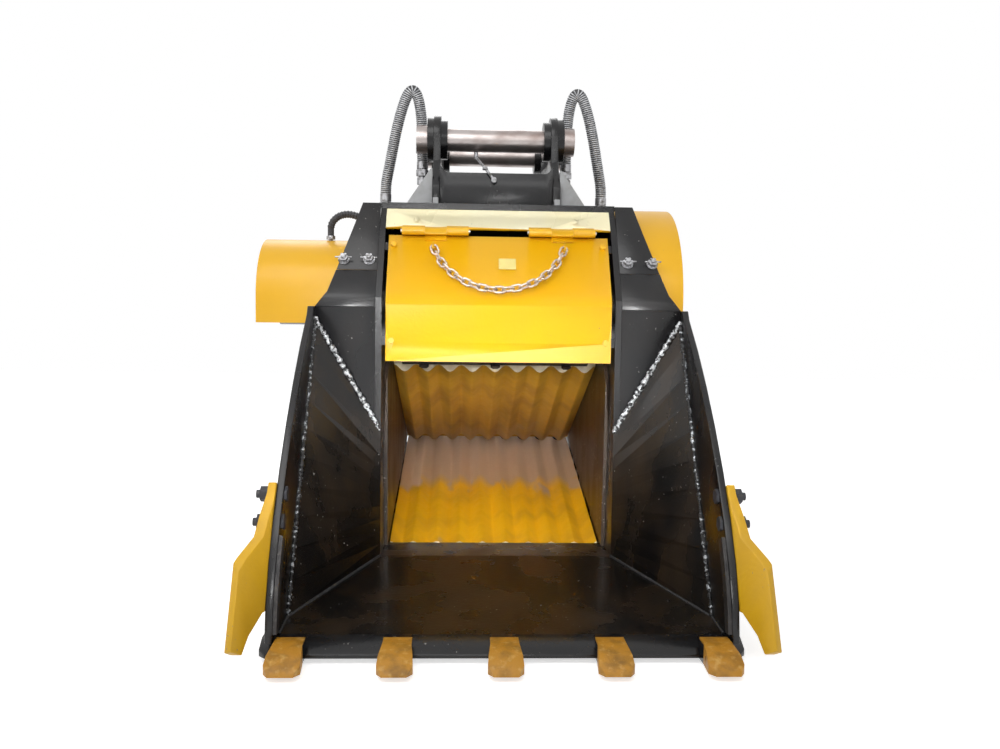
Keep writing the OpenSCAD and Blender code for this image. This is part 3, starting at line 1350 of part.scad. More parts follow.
cutting_edge();
bucket_floor();
floor_ribs();
belly_plate();
outer_side_left();
outer_side_right();
rim_bars();
funnel_left();
funnel_right();
back_plates();
front_corner_left();
front_corner_right();
guard_plate_left();
guard_plate_right();
guard_fasteners();
side_cutter_left();
side_cutter_right();
cutter_bolts();
tooth_adapters();
tooth_caps();
tooth_pins();
wear_runners();
main_side_left();
main_side_right();
top_deck();
top_strip();
front_crossbeam();
jaw_bed();
fixed_jaw();
fixed_jaw_clamp();
cheek_left();
cheek_right();
rear_crossmember();
bearing_housings();
main_bearings();
eccentric_shaft();
flywheel();
drive_coupling();
drive_motor();
motor_bracket();
flywheel_cover();
motor_cover();
pitman();
pitman_bearings();
moving_jaw();
moving_jaw_clamp();
toggle_plate();
adjusting_block();
tension_rod();
tension_spring();
access_cover();
cover_hinge_pins();
cover_chain();
coupler_ears();
coupler_plates();
coupler_pins();
hose_left();
hose_right();
drain_hose();
hose_fittings();
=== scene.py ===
"""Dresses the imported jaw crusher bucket: finishes, eased edges, weld beads, jaws, teeth and hoses.

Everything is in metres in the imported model's frame, whose origin is the centre of the stick pin.
Places are written as the drawing gives them: millimetres to the machine's left, to the rear of
the lip's edge, and above the lip's underside.
"""
import json
import logging
import math
from dataclasses import dataclass
from enum import Enum
from typing import Callable, Iterable, Sequence

import bmesh
import bpy
from mathutils import Matrix, Vector

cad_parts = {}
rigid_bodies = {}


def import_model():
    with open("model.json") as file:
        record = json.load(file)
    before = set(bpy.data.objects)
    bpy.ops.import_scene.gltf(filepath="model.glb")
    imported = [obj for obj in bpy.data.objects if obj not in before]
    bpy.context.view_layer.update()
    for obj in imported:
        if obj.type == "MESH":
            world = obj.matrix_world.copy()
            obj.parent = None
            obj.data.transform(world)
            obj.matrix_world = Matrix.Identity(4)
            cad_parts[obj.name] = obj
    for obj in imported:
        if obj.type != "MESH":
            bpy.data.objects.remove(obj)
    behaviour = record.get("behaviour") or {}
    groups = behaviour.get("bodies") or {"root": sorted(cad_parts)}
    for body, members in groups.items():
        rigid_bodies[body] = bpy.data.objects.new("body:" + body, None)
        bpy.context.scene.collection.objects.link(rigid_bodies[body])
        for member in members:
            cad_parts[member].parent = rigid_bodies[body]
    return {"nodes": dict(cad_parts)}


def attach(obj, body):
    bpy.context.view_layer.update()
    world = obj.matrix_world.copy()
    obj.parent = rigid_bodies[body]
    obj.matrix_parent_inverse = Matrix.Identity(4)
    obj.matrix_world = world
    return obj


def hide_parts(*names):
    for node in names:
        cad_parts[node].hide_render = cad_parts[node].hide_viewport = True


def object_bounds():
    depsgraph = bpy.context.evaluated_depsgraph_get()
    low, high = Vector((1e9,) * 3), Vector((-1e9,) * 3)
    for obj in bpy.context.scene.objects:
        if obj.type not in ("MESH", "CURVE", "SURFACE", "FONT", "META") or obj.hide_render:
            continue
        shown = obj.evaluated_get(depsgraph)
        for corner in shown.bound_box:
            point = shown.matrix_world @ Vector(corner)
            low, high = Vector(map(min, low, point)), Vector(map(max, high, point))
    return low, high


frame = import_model()
CAD_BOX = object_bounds()

log = logging.getLogger("crusher_bucket")

MM = 0.001
# The stick pin's centre on the drawing, in millimetres
STICK_PIN = Vector((0.0, 1040.0, 1250.0))
# The photograph's width in pixels
IMAGE_W = 1000
# Faces meet smoothly below the first angle; an edge is rounded above the second
SMOOTH_DEG = 32.0
ROUNDED_DEG = 28.0
# Copied CAD triangles: points closer than this, in metres, are one, and flatter edges than this go
SAME_POINT = 1e-5
FLAT_DEG = 0.5

Point = tuple[float, float, float]
Pair = tuple[float, float]
Socket = bpy.types.NodeSocket


def at(x: float, y: float, z: float) -> Vector:
    """A place on the drawing, in the model's frame and in metres."""
    return (Vector((x, y, z)) - STICK_PIN) * MM


def linear(hex_colour: str) -> tuple[float, float, float, float]:
    """Turns an sRGB hex colour into the linear values that sockets take.

    Args:
        hex_colour: Six hex digits.

    Returns:
        Linear red, green and blue, and a full alpha.
    """
    parts = [int(hex_colour[i:i + 2], 16) / 255 for i in (0, 2, 4)]
    red, green, blue = (p / 12.92 if p <= 0.04045 else ((p + 0.055) / 1.055) ** 2.4 for p in parts)
    return red, green, blue, 1.0


def add_node(tree: bpy.types.NodeTree, kind: str, inputs: dict | None = None, **settings) -> bpy.types.Node:
    """Adds a node to a tree, sets it, and sets or links its inputs.

    Args:
        tree: The tree that takes the node.
        kind: The node's type, such as ShaderNodeTexNoise.
        inputs: A value or another node's output for each input, by name or place.
        **settings: The node's own properties.

    Returns:
        The new node.
    """
    node = tree.nodes.new(kind)
    for name, value in settings.items():
        setattr(node, name, value)
    for key, value in (inputs or {}).items():
        if isinstance(value, Socket):
            tree.links.new(value, node.inputs[key])
        else:
            node.inputs[key].default_value = value
    return node


class Shader:
    """A material's tree while it is being built: Object coordinates, patterns and layers."""

    def __init__(self, name: str) -> None:
        """Starts an empty material of that name."""
        self.material = bpy.data.materials.new(name)
        self.material.use_nodes = True
        self.tree = self.material.node_tree
        self.tree.nodes.clear()
        self.place = add_node(self.tree, "ShaderNodeTexCoord").outputs["Object"]

    def cloud(self, size_mm: float, low: float, high: float, detail: float = 3.0,
              stretch: Point = (1.0, 1.0, 1.0)) -> Socket:
        """A soft noise mask.

        Args:
            size_mm: The size of its clouds in millimetres.
            low: The noise value where the mask starts.
            high: The noise value where the mask is full.
            detail: The number of finer layers.
            stretch: A factor on the pattern's frequency along each axis.

        Returns:
            The mask, from 0 to 1.
        """
        mapped = add_node(self.tree, "ShaderNodeMapping", {"Vector": self.place, "Scale": stretch})
        grain = add_node(self.tree, "ShaderNodeTexNoise", {
            "Vector": mapped.outputs[0], "Scale": 1 / (size_mm * MM), "Detail": detail})
        return self.span(grain.outputs["Fac"], low, high)

    def span(self, value: Socket, low: float, high: float, start: float = 0.0, end: float = 1.0) -> Socket:
        """Maps a value's range from low to high onto start to end, clamped."""
        mapped = add_node(self.tree, "ShaderNodeMapRange", {
            "Value": value, "From Min": low, "From Max": high, "To Min": start, "To Max": end})
        return mapped.outputs[0]

    def height(self, low: Vector, high: Vector) -> Socket:
        """A ramp along the line between two places.

        Args:
            low: Where the ramp is 0.
            high: Where it is 1.

        Returns:
            The ramp, clamped to 0 to 1.
        """
        line = high - low
        offset = add_node(self.tree, "ShaderNodeVectorMath", {0: self.place, 1: low}, operation="SUBTRACT")
        along = add_node(self.tree, "ShaderNodeVectorMath", {
            0: offset.outputs[0], 1: line / line.length_squared}, operation="DOT_PRODUCT")
        return self.span(along.outputs["Value"], 0, 1)

    def math(self, operation: str, first: Socket | float, second: Socket | float = 0.0) -> Socket:
        """A sum, product, smaller or greater value of two values, clamped to 0 to 1."""
        return add_node(self.tree, "ShaderNodeMath", {0: first, 1: second}, operation=operation,
                        use_clamp=True).outputs[0]

    def layer(self, under: Socket | Sequence[float], over: Socket | Sequence[float],
              mask: Socket) -> Socket:
        """Lays one colour over another.

        Args:
            under: The lower colour.
            over: The upper colour.
            mask: Where the upper colour lies, from 0 to 1.

        Returns:
            The mixed colour.
        """
        mix = add_node(self.tree, "ShaderNodeMix", data_type="RGBA")
        for place, value in ((0, mask), (6, under), (7, over)):
            if isinstance(value, Socket):
                self.tree.links.new(value, mix.inputs[place])
            else:
                mix.inputs[place].default_value = value
        return mix.outputs[2]

    def bump(self, height: Socket, depth_mm: float, under: Socket | None = None) -> Socket:
        """Turns a height mask into a normal.

        Args:
            height: The mask.
            depth_mm: How far its full places stand over its empty ones.
            under: An earlier normal that this one adds to.

        Returns:
            The normal.
        """
        inputs = {"Height": height, "Distance": depth_mm * MM, "Strength": 1.0}
        if under is not None:
            inputs["Normal"] = under
        return add_node(self.tree, "ShaderNodeBump", inputs).outputs[0]

    def close(self, **inputs) -> bpy.types.Material:
        """Ends the tree in a Principled shader.

        Args:
            **inputs: The shader's inputs, with an underscore for each space in a name.

        Returns:
            The material.
        """
        named = {name.replace("_", " "): value for name, value in inputs.items()}
        surface = add_node(self.tree, "ShaderNodeBsdfPrincipled", named)
        add_node(self.tree, "ShaderNodeOutputMaterial", {"Surface": surface.outputs[0]})
        return self.material


@dataclass(frozen=True)
class Finish:
    """One finish of a real material; it is built once and then shared."""

    name: str

    def build(self, shader: Shader) -> bpy.types.Material:
        """Builds the finish's material."""
        raise NotImplementedError

    @property
    def material(self) -> bpy.types.Material:
        """The finish's material, made at its first use."""
        known = bpy.data.materials.get(self.name)
        return known or self.build(Shader(self.name))


@dataclass(frozen=True)
class SprayedEnamel(Finish):
    """Sprayed two-pack enamel on steel plate: an even colour, orange peel, dust and small chips."""

    colour: str
    faded: str
    dust: str
    chip: str
    roughness: float
    coat: float = 0.0
    dust_share: float = 0.3
    chip_low: float = 0.72
    peel_mm: float = 0.12
    specular: float = 0.5

    def build(self, shader: Shader) -> bpy.types.Material:
        """Paint, then fading in wide clouds, settled dust, and chips down to primer."""
        faded = shader.math("MULTIPLY", shader.cloud(240, 0.4, 0.7), 0.6)
        colour = shader.layer(linear(self.colour), linear(self.faded), faded)
        settled = shader.math("MULTIPLY", shader.cloud(95, 0.42, 0.74, 6.0, (1, 1, 0.45)), self.dust_share)
        colour = shader.layer(colour, linear(self.dust), settled)
        chips = shader.math("MULTIPLY", shader.cloud(7, self.chip_low, self.chip_low + 0.02, 2.0),
                            shader.cloud(130, 0.5, 0.56))
        colour = shader.layer(colour, linear(self.chip), chips)
        rough = shader.span(shader.math("ADD", settled, shader.math("MULTIPLY", faded, 0.3)), 0, 1,
                            self.roughness, min(1.0, self.roughness + 0.4))
        # Orange peel is about 2 mm across; it is drawn at 9 mm so that it shows
        peel = shader.bump(shader.cloud(9, 0.3, 0.7, 1.0), self.peel_mm)
        normal = shader.bump(chips, -0.15, peel)
        return shader.close(Base_Color=colour, Roughness=rough, Normal=normal, Coat_Weight=self.coat,
                            Coat_Roughness=0.12, Specular_IOR_Level=self.specular)


@dataclass(frozen=True)
class StoneWornPaint(Finish):
    """Paint on cast jaw steel that stone has begun to scrape off, most of it from the far end."""

    colour: str
    shade: str
    bare: str
    worn_from: Point
    worn_to: Point
    share: float = 0.8

    def build(self, shader: Shader) -> bpy.types.Material:
        """Yellow paint in clouds, and a scraped zone whose edge breaks up along the ridges."""
        colour = shader.layer(linear(self.colour), linear(self.shade), shader.cloud(120, 0.42, 0.66))
        ramp = shader.height(at(*self.worn_from), at(*self.worn_to))
        streaks = shader.cloud(70, 0.3, 0.75, 5.0, (1, 0.3, 1))
        ragged = shader.math("ADD", ramp, shader.math("SUBTRACT", streaks, 0.5))
        worn = shader.math("MULTIPLY", shader.span(ragged, 0.42, 0.62), self.share)
        colour = shader.layer(colour, linear(self.bare), worn)
        grit = shader.cloud(3, 0.3, 0.75, 4.0)
        rough = shader.span(worn, 0, 1, 0.42, 0.68)
        normal = shader.bump(grit, 0.3, shader.bump(shader.cloud(26, 0.3, 0.7, 2.0), 0.8))
        return shader.close(Base_Color=colour, Roughness=rough, Normal=normal)


@dataclass(frozen=True)
class CastSteel(Finish):
    """Painted or bare cast steel: a sandy skin, soft dents and dark pits."""

    colour: str
    dark: str
    rub: str
    roughness: float = 0.5
    metallic: float = 0.0

    def build(self, shader: Shader) -> bpy.types.Material:
        """A mottled colour with rubbed patches, over the grain of the sand mould."""
        colour = shader.layer(linear(self.colour), linear(self.dark), shader.cloud(34, 0.46, 0.72, 5.0))
        rubbed = shader.math("MULTIPLY", shader.cloud(16, 0.55, 0.75, 4.0), 0.6)
        colour = shader.layer(colour, linear(self.rub), rubbed)
        rough = shader.span(shader.cloud(20, 0.3, 0.7), 0, 1, self.roughness,
                            min(1.0, self.roughness + 0.2))
        dents = shader.bump(shader.cloud(22, 0.3, 0.7), 0.9)
        normal = shader.bump(shader.cloud(2.4, 0.3, 0.7, 2.0), 0.25, dents)
        return shader.close(Base_Color=colour, Roughness=rough, Normal=normal, Metallic=self.metallic)


@dataclass(frozen=True)
class TurnedSteel(Finish):
    """Steel turned on a lathe along X: fine rings, a brown bloom of oil and rust."""

    colour: str
    bloom: str
    roughness: float = 0.3

    def build(self, shader: Shader) -> bpy.types.Material:
        """Bare metal with rings round X. They are 0.3 mm apart and drawn at 2.4 mm to show."""
        rings = add_node(shader.tree, "ShaderNodeTexWave", {
            "Vector": shader.place, "Scale": 0.5 / (2.4 * MM) / math.pi, "Distortion": 0.6, "Detail": 2.0},
            bands_direction="X")
        bloom = shader.math("MULTIPLY", shader.cloud(46, 0.42, 0.7, 5.0, (0.5, 1, 1)), 0.75)
        colour = shader.layer(linear(self.colour), linear(self.bloom), bloom)
        rough = shader.span(bloom, 0, 1, self.roughness, self.roughness + 0.25)
        return shader.close(Base_Color=colour, Roughness=rough, Metallic=0.9,
                            Normal=shader.bump(rings.outputs["Fac"], 0.03))


@dataclass(frozen=True)
class PlatedSteel(Finish):
    """Zinc plated steel, as on bolts, fittings and the chain: dull silver with darker clouds."""

    colour: str
    stain: str
    roughness: float = 0.38

    def build(self, shader: Shader) -> bpy.types.Material:
        """Plating with stains of oil and dust."""
        stain = shader.cloud(12, 0.45, 0.72, 4.0)
        colour = shader.layer(linear(self.colour), linear(self.stain), stain)
        rough = shader.span(stain, 0, 1, self.roughness, self.roughness + 0.3)
        return shader.close(Base_Color=colour, Roughness=rough, Metallic=0.75,
                            Normal=shader.bump(shader.cloud(3, 0.3, 0.7), 0.06))


@dataclass(frozen=True)
class WeldMetal(Finish):
    """A weld bead, painted over in haste: black paint with bare silver flecks and spatter. Where the share
    is large the light flecks also stand for a painted highlight.
    """

    paint: str
    fleck: str
    share: float = 0.5

    def build(self, shader: Shader) -> bpy.types.Material:
        """Paint with bare flecks of a few millimetres."""
        fleck = shader.cloud(9, 0.62 - 0.2 * self.share, 0.66 - 0.2 * self.share, 3.0)
        colour = shader.layer(linear(self.paint), linear(self.fleck), fleck)
        return shader.close(Base_Color=colour, Roughness=0.45, Metallic=shader.math("MULTIPLY", fleck, 0.3),
                            Normal=shader.bump(shader.cloud(3, 0.3, 0.7), 0.4))


@dataclass(frozen=True)
class Moulded(Finish):
    """Rubber or plastic with a fine matt skin."""

    colour: str
    dusty: str
    roughness: float

    def build(self, shader: Shader) -> bpy.types.Material:
        """A dark skin with dust in its low places."""
        colour = shader.layer(linear(self.colour), linear(self.dusty), shader.cloud(30, 0.45, 0.75, 4.0))
        return shader.close(Base_Color=colour, Roughness=self.roughness,
                            Normal=shader.bump(shader.cloud(2, 0.3, 0.7), 0.1))


# Two-pack enamel on plate: deep black, or a warm even yellow, with soft broad reflections
BLACK_ENAMEL = SprayedEnamel("gloss_black_enamel", "101012", "19191B", "332B24", "8E8C88", 0.24, 0.12, 0.2,
                             specular=0.35)
# Inside the mouth the same black carries brown dust
MOUTH_ENAMEL = SprayedEnamel("gloss_black_enamel_of_the_mouth", "100F0F", "1B1815", "4A3824", "8E8C88",
                             0.2, 0.15, 0.35, specular=0.35)
CHEEK_ENAMEL = SprayedEnamel("scuffed_black_enamel_of_the_cheeks", "2B211B", "4E4034", "6A5642", "A09A90",
                             0.36, 0.05, 0.5, 0.66)
YELLOW_ENAMEL = SprayedEnamel("satin_yellow_enamel", "EDB206", "E8B00E", "C8A24A", "6B6A66",
                              0.34, 0.1, 0.1, 0.76)
# The top strip's cream is a painted reflection: its yellow paint is drawn as pale as the bright sky that it
# reflects
PAINTED_GLARE_ENAMEL = SprayedEnamel("cream_painted_sky_reflection_of_the_top_strip", "FAF0C4", "FBF6DA", "EFE6C6", "8C8A80",
                            0.25, 0.3, 0.3)
CUTTER_ENAMEL = SprayedEnamel("yellow_enamel_on_flame_cut_plate", "D2A20E", "BC8E18", "A27C30", "77736A",
                              0.42, 0.0, 0.3, 0.68, 0.3)
CAST_ENAMEL = SprayedEnamel("yellow_enamel_on_the_cast_pitman", "B98B18", "A37A1C", "6E5A36", "5A564E",
                            0.5, 0.0, 0.4)
# The jaws: yellow paint that turns to bare warm grey where stone has passed, and cream ends: their faces
# that look to the front are partly bare metal and partly a painted highlight
FIXED_JAW = StoneWornPaint("painted_manganese_steel_of_the_fixed_jaw", "E3AB16", "D09A1E", "C2A285",
                           (0, 930, 120), (0, 1330, 200), 0.95)
MOVING_JAW = StoneWornPaint("painted_manganese_steel_of_the_moving_jaw", "C79A34", "AC8230", "CDB58C",
                            (0, 1240, 380), (0, 1560, 250), 0.45)
JAW_ENDS_AND_HIGHLIGHT = Moulded("bare_ends_and_painted_highlight_of_the_jaw_ridges", "F1E2C4", "D9C29A", 0.5)
# Castings: sandy and mottled, in ochre paint on the teeth and near black elsewhere
TOOTH_CAST = CastSteel("painted_cast_steel_of_the_teeth", "B8811F", "875F18", "D8B266", 0.42)
DARK_CAST = CastSteel("dark_cast_iron", "35353A", "202024", "55534F", 0.5, 0.2)
MILL_STEEL = CastSteel("hot_rolled_steel", "3A3838", "242324", "5D5853", 0.4, 0.4)
# Bare and plated steel: silver with a brown bloom, sharper where it was ground
PIN_STEEL = TurnedSteel("turned_pin_steel", "BDB5B2", "85716A", 0.3)
SHAFT_STEEL = TurnedSteel("ground_shaft_steel", "B9B7B5", "8A7C70", 0.25)
ZINC = PlatedSteel("zinc_plated_steel", "B4B4B7", "5C5954", 0.36)
CHAIN_ZINC = PlatedSteel("zinc_plated_chain_steel", "D9CCC2", "8C7768", 0.3)
# Skins without gloss: primer, film and rubber
GREY_PRIMER = Moulded("matt_grey_primer", "B4B5B6", "A5A5A4", 0.7)
PLAIN_LABEL = Moulded("plain_film_of_a_bare_label", "D8C77A", "C9B66A", 0.4)
HOSE_GUARD = PlatedSteel("galvanised_spring_of_a_hose", "C6C7C9", "8E9094", 0.5)
HOSE_RUBBER = Moulded("hose_rubber", "3A3A3D", "4A4947", 0.62)
# Welds: black ripples with more or fewer bare flecks; on the funnel's top edges the many light flecks are
# partly a painted highlight along the fold
WELD = WeldMetal("painted_weld_metal", "1E1E1F", "B9BDC1", 0.3)
FLOOR_WELD = WeldMetal("painted_weld_metal_of_the_floor", "1A1A1B", "3C3D3E", 0.15)
SCRAPED_WELD_AND_PAINTED_HIGHLIGHT = WeldMetal("scraped_weld_metal_and_painted_highlight", "2C2C2D", "D2D4D6", 0.8)


def finish_piece(piece: bpy.types.Object, body: str, finish: Finish,
                 replaced: Iterable[str] = ()) -> bpy.types.Object:
    """Gives a new piece its finish, its body and the CAD nodes that it stands for.

    Args:
        piece: The new piece.
        body: The body that it rides on.
        finish: Its finish.
        replaced: The CAD nodes that it stands for.

    Returns:
        The piece.
    """
    piece.data.materials.clear()
    piece.data.materials.append(finish.material)
    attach(piece, body)
    replaced = list(replaced)
    if replaced:
        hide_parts(*replaced)
    log.info("%s rides on %s, %d faces", piece.name, body, len(piece.data.polygons))
    return piece


def dress(node: str, finish: Finish) -> None:
    """Gives a CAD node that stays in view its finish.

    Args:
        node: The node.
        finish: Its finish.
    """
    piece = frame["nodes"][node]
    piece.data.materials.clear()
    piece.data.materials.append(finish.material)
    log.info("%s keeps its CAD shape", node)


def new_piece(name: str, mesh: bpy.types.Mesh) -> bpy.types.Object:
    """Puts a mesh into the scene as an object at the origin.

    Args:
        name: The piece's name.
        mesh: Its mesh, or its curve.

    Returns:
        The object.
    """
    piece = bpy.data.objects.new(name, mesh)
    bpy.context.scene.collection.objects.link(piece)
    return piece


def mesh_of(name: str, form: bmesh.types.BMesh) -> bpy.types.Mesh:
    """Turns a bmesh into a mesh, smooth but for its sharp edges.

    Args:
        name: The mesh's name.
        form: The bmesh, which is freed.

    Returns:
        The mesh.
    """
    mesh = bpy.data.meshes.new(name)
    form.to_mesh(mesh)
    form.free()
    mesh.shade_smooth()
    mesh.set_sharp_from_angle(angle=math.radians(SMOOTH_DEG))
    return mesh


def eased(node: str, width_mm: float, steps: int = 2) -> bpy.types.Object:
    """Copies a CAD node and rounds its sharp edges.

    Args:
        node: The CAD node.
        width_mm: The width of the rounding, or 0 for none.
        steps: The number of facets across the rounding.

    Returns:
        The copy, at the origin.
    """
    form = bmesh.new()
    form.from_mesh(frame["nodes"][node].data)
    bmesh.ops.remove_doubles(form, verts=form.verts, dist=SAME_POINT)
    bmesh.ops.dissolve_limit(form, angle_limit=math.radians(FLAT_DEG), verts=form.verts, edges=form.edges)
    least = math.radians(ROUNDED_DEG)
    sharp = [e for e in form.edges if len(e.link_faces) == 2 and e.calc_face_angle(0.0) > least]
    if width_mm:
        bmesh.ops.bevel(form, geom=sharp, offset=width_mm * MM, segments=steps, profile=0.5, affect="EDGES",
                        clamp_overlap=True)
    bmesh.ops.triangulate(form, faces=[f for f in form.faces if len(f.verts) > 4])
    return new_piece(f"{node}_eased", mesh_of(node, form))


def second_finish(piece: bpy.types.Object, finish: Finish,
                  chosen: Callable[[Vector, Vector], bool]) -> None:
    """Gives some faces of a piece another finish.

    Args:
        piece: The piece, which already has its first finish.
        finish: The second finish.
        chosen: A test that picks a face from its centre and normal.
    """
    piece.data.materials.append(finish.material)
    for face in piece.data.polygons:
        if chosen(face.center, face.normal):
            face.material_index = 1


def loft(name: str, rings: Sequence[Sequence[Vector]]) -> bpy.types.Object:
    """Joins rings of points into a closed skin.

    Args:
        name: The piece's name.
        rings: The rings, of as many points each.

    Returns:
        The skin, with both its ends closed.
    """
    form = bmesh.new()
    rows = [[form.verts.new(p) for p in ring] for ring in rings]
    count = len(rows[0])
    for below, above in zip(rows, rows[1:]):
        for k in range(count):
            form.faces.new((below[k], below[(k + 1) % count], above[(k + 1) % count], above[k]))
    form.faces.new(list(reversed(rows[0])))
    form.faces.new(rows[-1])
    bmesh.ops.recalc_face_normals(form, faces=form.faces)
    return new_piece(name, mesh_of(name, form))


class Growth:
    """A Geometry Nodes tree that grows a repeated form along a path, and its baking to a plain mesh."""

    def __init__(self, name: str, sizes: dict[str, float]) -> None:
        """Starts a tree with a path input, a finish input and the named sizes.

        Args:
            name: The tree's name.
            sizes: Each named input with its value, in metres or as a count.
        """
        self.tree = bpy.data.node_groups.new(name, "GeometryNodeTree")
        face = self.tree.interface
        face.new_socket("Path", in_out="INPUT", socket_type="NodeSocketGeometry")
        self.ids = {}
        for label, value in sizes.items():
            kind = "NodeSocketInt" if isinstance(value, int) else "NodeSocketFloat"
            socket = face.new_socket(label, in_out="INPUT", socket_type=kind)
            self.ids[label] = (socket.identifier, value)
        face.new_socket("Finish", in_out="INPUT", socket_type="NodeSocketMaterial")
        self.finish_id = face.items_tree[-1].identifier
        face.new_socket("Piece", in_out="OUTPUT", socket_type="NodeSocketGeometry")
        self.inputs = self.add("NodeGroupInput").outputs

    def add(self, kind: str, inputs: dict | None = None, **settings) -> bpy.types.Node:
        """Adds a node to the tree."""
        return add_node(self.tree, kind, inputs, **settings)

    def math(self, operation: str, first: Socket | float, second: Socket | float) -> Socket:
        """A sum, product or other operation on two values."""
        return self.add("ShaderNodeMath", {0: first, 1: second}, operation=operation).outputs[0]

    def end(self, grown: Socket) -> None:
        """Ends the tree with real geometry instead of instances, and with its finish.

        Args:
            grown: The geometry that the tree has made.
        """
        real = self.add("GeometryNodeRealizeInstances", {0: grown})
        done = self.add("GeometryNodeSetMaterial", {
            "Geometry": real.outputs[0], "Material": self.inputs["Finish"]})
        self.add("NodeGroupOutput", {"Piece": done.outputs[0]})

    def bake(self, name: str, host: bpy.types.Object, finish: Finish) -> bpy.types.Object:
        """Grows the tree on a host, bakes the result to a plain mesh and removes the host.

        Args:
            name: The new piece's name.
            host: The object whose curve the form follows.
            finish: The piece's finish.

        Returns:
            The piece.
        """
        modifier = host.modifiers.new("growth", "NODES")
        modifier.node_group = self.tree
        for identifier, value in self.ids.values():
            modifier[identifier] = value
        modifier[self.finish_id] = finish.material
        graph = bpy.context.evaluated_depsgraph_get()
        mesh = bpy.data.meshes.new_from_object(host.evaluated_get(graph), depsgraph=graph)
        bpy.data.objects.remove(host)
        mesh.name = name
        return new_piece(name, mesh)


def path_host(lines: Sequence[Sequence[Vector]], smooth: bool = False) -> bpy.types.Object:
    """A curve object with one open line for each list of points.

    Args:
        lines: The lists of points.
        smooth: Whether the lines are eased between their points.

    Returns:
        The object.
    """
    curve = bpy.data.curves.new("path", "CURVE")
    curve.dimensions = "3D"
    for line in lines:
        spline = curve.splines.new("NURBS" if smooth else "POLY")
        spline.points.add(len(line) - 1)
        for point, place in zip(spline.points, line):
            point.co = (*place, 1.0)
        if smooth:
            spline.order_u = 4
            spline.use_endpoint_u = True
    return new_piece("path", curve)


class BeadForm(Enum):
    """How a weld was laid, with the spread of its ripples' sizes."""

    NEAT = 0.35
    COARSE = 0.8


# A bead's ripples: their distance as a share of its width, their height to their width, their order
RIPPLE_SHARE = 0.45
RIPPLE_FLATNESS = 0.8
RIPPLE_SEED = 7
# The flat wire of a hose's guard spring, as a share of the distance between its rings
WIRE_SHARE = 0.36


def weld_bead(name: str, lines: Sequence[Sequence[Vector]], width_mm: float, form: BeadForm,
              finish: Finish) -> bpy.types.Object:
    """A weld bead with its ripples, along some lines.

    Args:
        name: The piece's name.
        lines: The lines that it follows.
        width_mm: The bead's width.
        form: How even it is.
        finish: Its finish.

    Returns:
        The bead as one plain mesh.
    """
    grow = Growth(name, {
        "Width": width_mm * MM, "Ripple": width_mm * MM * RIPPLE_SHARE, "Unevenness": form.value})
    pin = grow.inputs
    dots = grow.add("GeometryNodeCurveToPoints", {
        "Curve": pin["Path"], "Length": pin["Ripple"]}, mode="LENGTH")
    drop = grow.add("GeometryNodeMeshUVSphere", {"Segments": 8, "Rings": 5, "Radius": grow.math(
        "MULTIPLY", pin["Width"], 0.5)})
    low = grow.math("SUBTRACT", 1.0, grow.math("MULTIPLY", pin["Unevenness"], 0.5))
    high = grow.math("ADD", 1.0, grow.math("MULTIPLY", pin["Unevenness"], 0.5))
    size = grow.add("FunctionNodeRandomValue", {2: low, 3: high, "Seed": RIPPLE_SEED},
                    data_type="FLOAT").outputs[1]
    scale = grow.add("ShaderNodeCombineXYZ", {
        0: size, 1: size, 2: grow.math("MULTIPLY", size, RIPPLE_FLATNESS)})
    drops = grow.add("GeometryNodeInstanceOnPoints", {
        "Points": dots.outputs["Points"], "Instance": drop.outputs["Mesh"],
        "Rotation": dots.outputs["Rotation"], "Scale": scale.outputs[0]})
    smooth = grow.add("GeometryNodeSetShadeSmooth", {0: drops.outputs[0]})
    grow.end(smooth.outputs[0])
    return grow.bake(name, path_host(lines), finish)


def ringed_hose(name: str, line: Sequence[Vector], outer_mm: float, pitch_mm: float,
                finish: Finish) -> bpy.types.Object:
    """The wire rings of a hose's guard spring along its route.

    Args:
        name: The piece's name.
        line: The hose's route.
        outer_mm: The diameter over the rings.
        pitch_mm: The distance between rings.
        finish: Its finish.

    Returns:
        The rings as one plain mesh.
    """
    grow = Growth(name, {
        "Radius": outer_mm * MM / 2, "Pitch": pitch_mm * MM, "Wire": pitch_mm * MM * WIRE_SHARE})
    pin = grow.inputs
    dots = grow.add("GeometryNodeCurveToPoints", {
        "Curve": pin["Path"], "Length": pin["Pitch"]}, mode="LENGTH")
    ring = grow.add("GeometryNodeCurvePrimitiveCircle", {
        "Resolution": 20, "Radius": grow.math("SUBTRACT", pin["Radius"], pin["Wire"])}, mode="RADIUS")
    section = grow.add("GeometryNodeCurvePrimitiveCircle", {
        "Resolution": 6, "Radius": pin["Wire"]}, mode="RADIUS")
    wire = grow.add("GeometryNodeCurveToMesh", {0: ring.outputs["Curve"], 1: section.outputs["Curve"]})
    rings = grow.add("GeometryNodeInstanceOnPoints", {
        "Points": dots.outputs["Points"], "Instance": wire.outputs[0],
        "Rotation": dots.outputs["Rotation"]})
    smooth = grow.add("GeometryNodeSetShadeSmooth", {0: rings.outputs[0]})
    grow.end(smooth.outputs[0])
    return grow.bake(name, path_host([line], smooth=True), finish)


def tube(name: str, line: Sequence[Vector], radius_mm: float, finish: Finish) -> bpy.types.Object:
    """A round tube with closed ends along a smooth route.

    Args:
        name: The piece's name.
        line: The route.
        radius_mm: The tube's radius.
        finish: Its finish.

    Returns:
        The tube as one plain mesh.
    """
    grow = Growth(name, {"Radius": radius_mm * MM})
    section = grow.add("GeometryNodeCurvePrimitiveCircle", {
        "Resolution": 16, "Radius": grow.inputs["Radius"]}, mode="RADIUS")
    skin = grow.add("GeometryNodeCurveToMesh", {
        0: grow.inputs["Path"], 1: section.outputs["Curve"], "Fill Caps": True})
    grow.end(grow.add("GeometryNodeSetShadeSmooth", {0: skin.outputs[0]}).outputs[0])
    return grow.bake(name, path_host([line], smooth=True), finish)


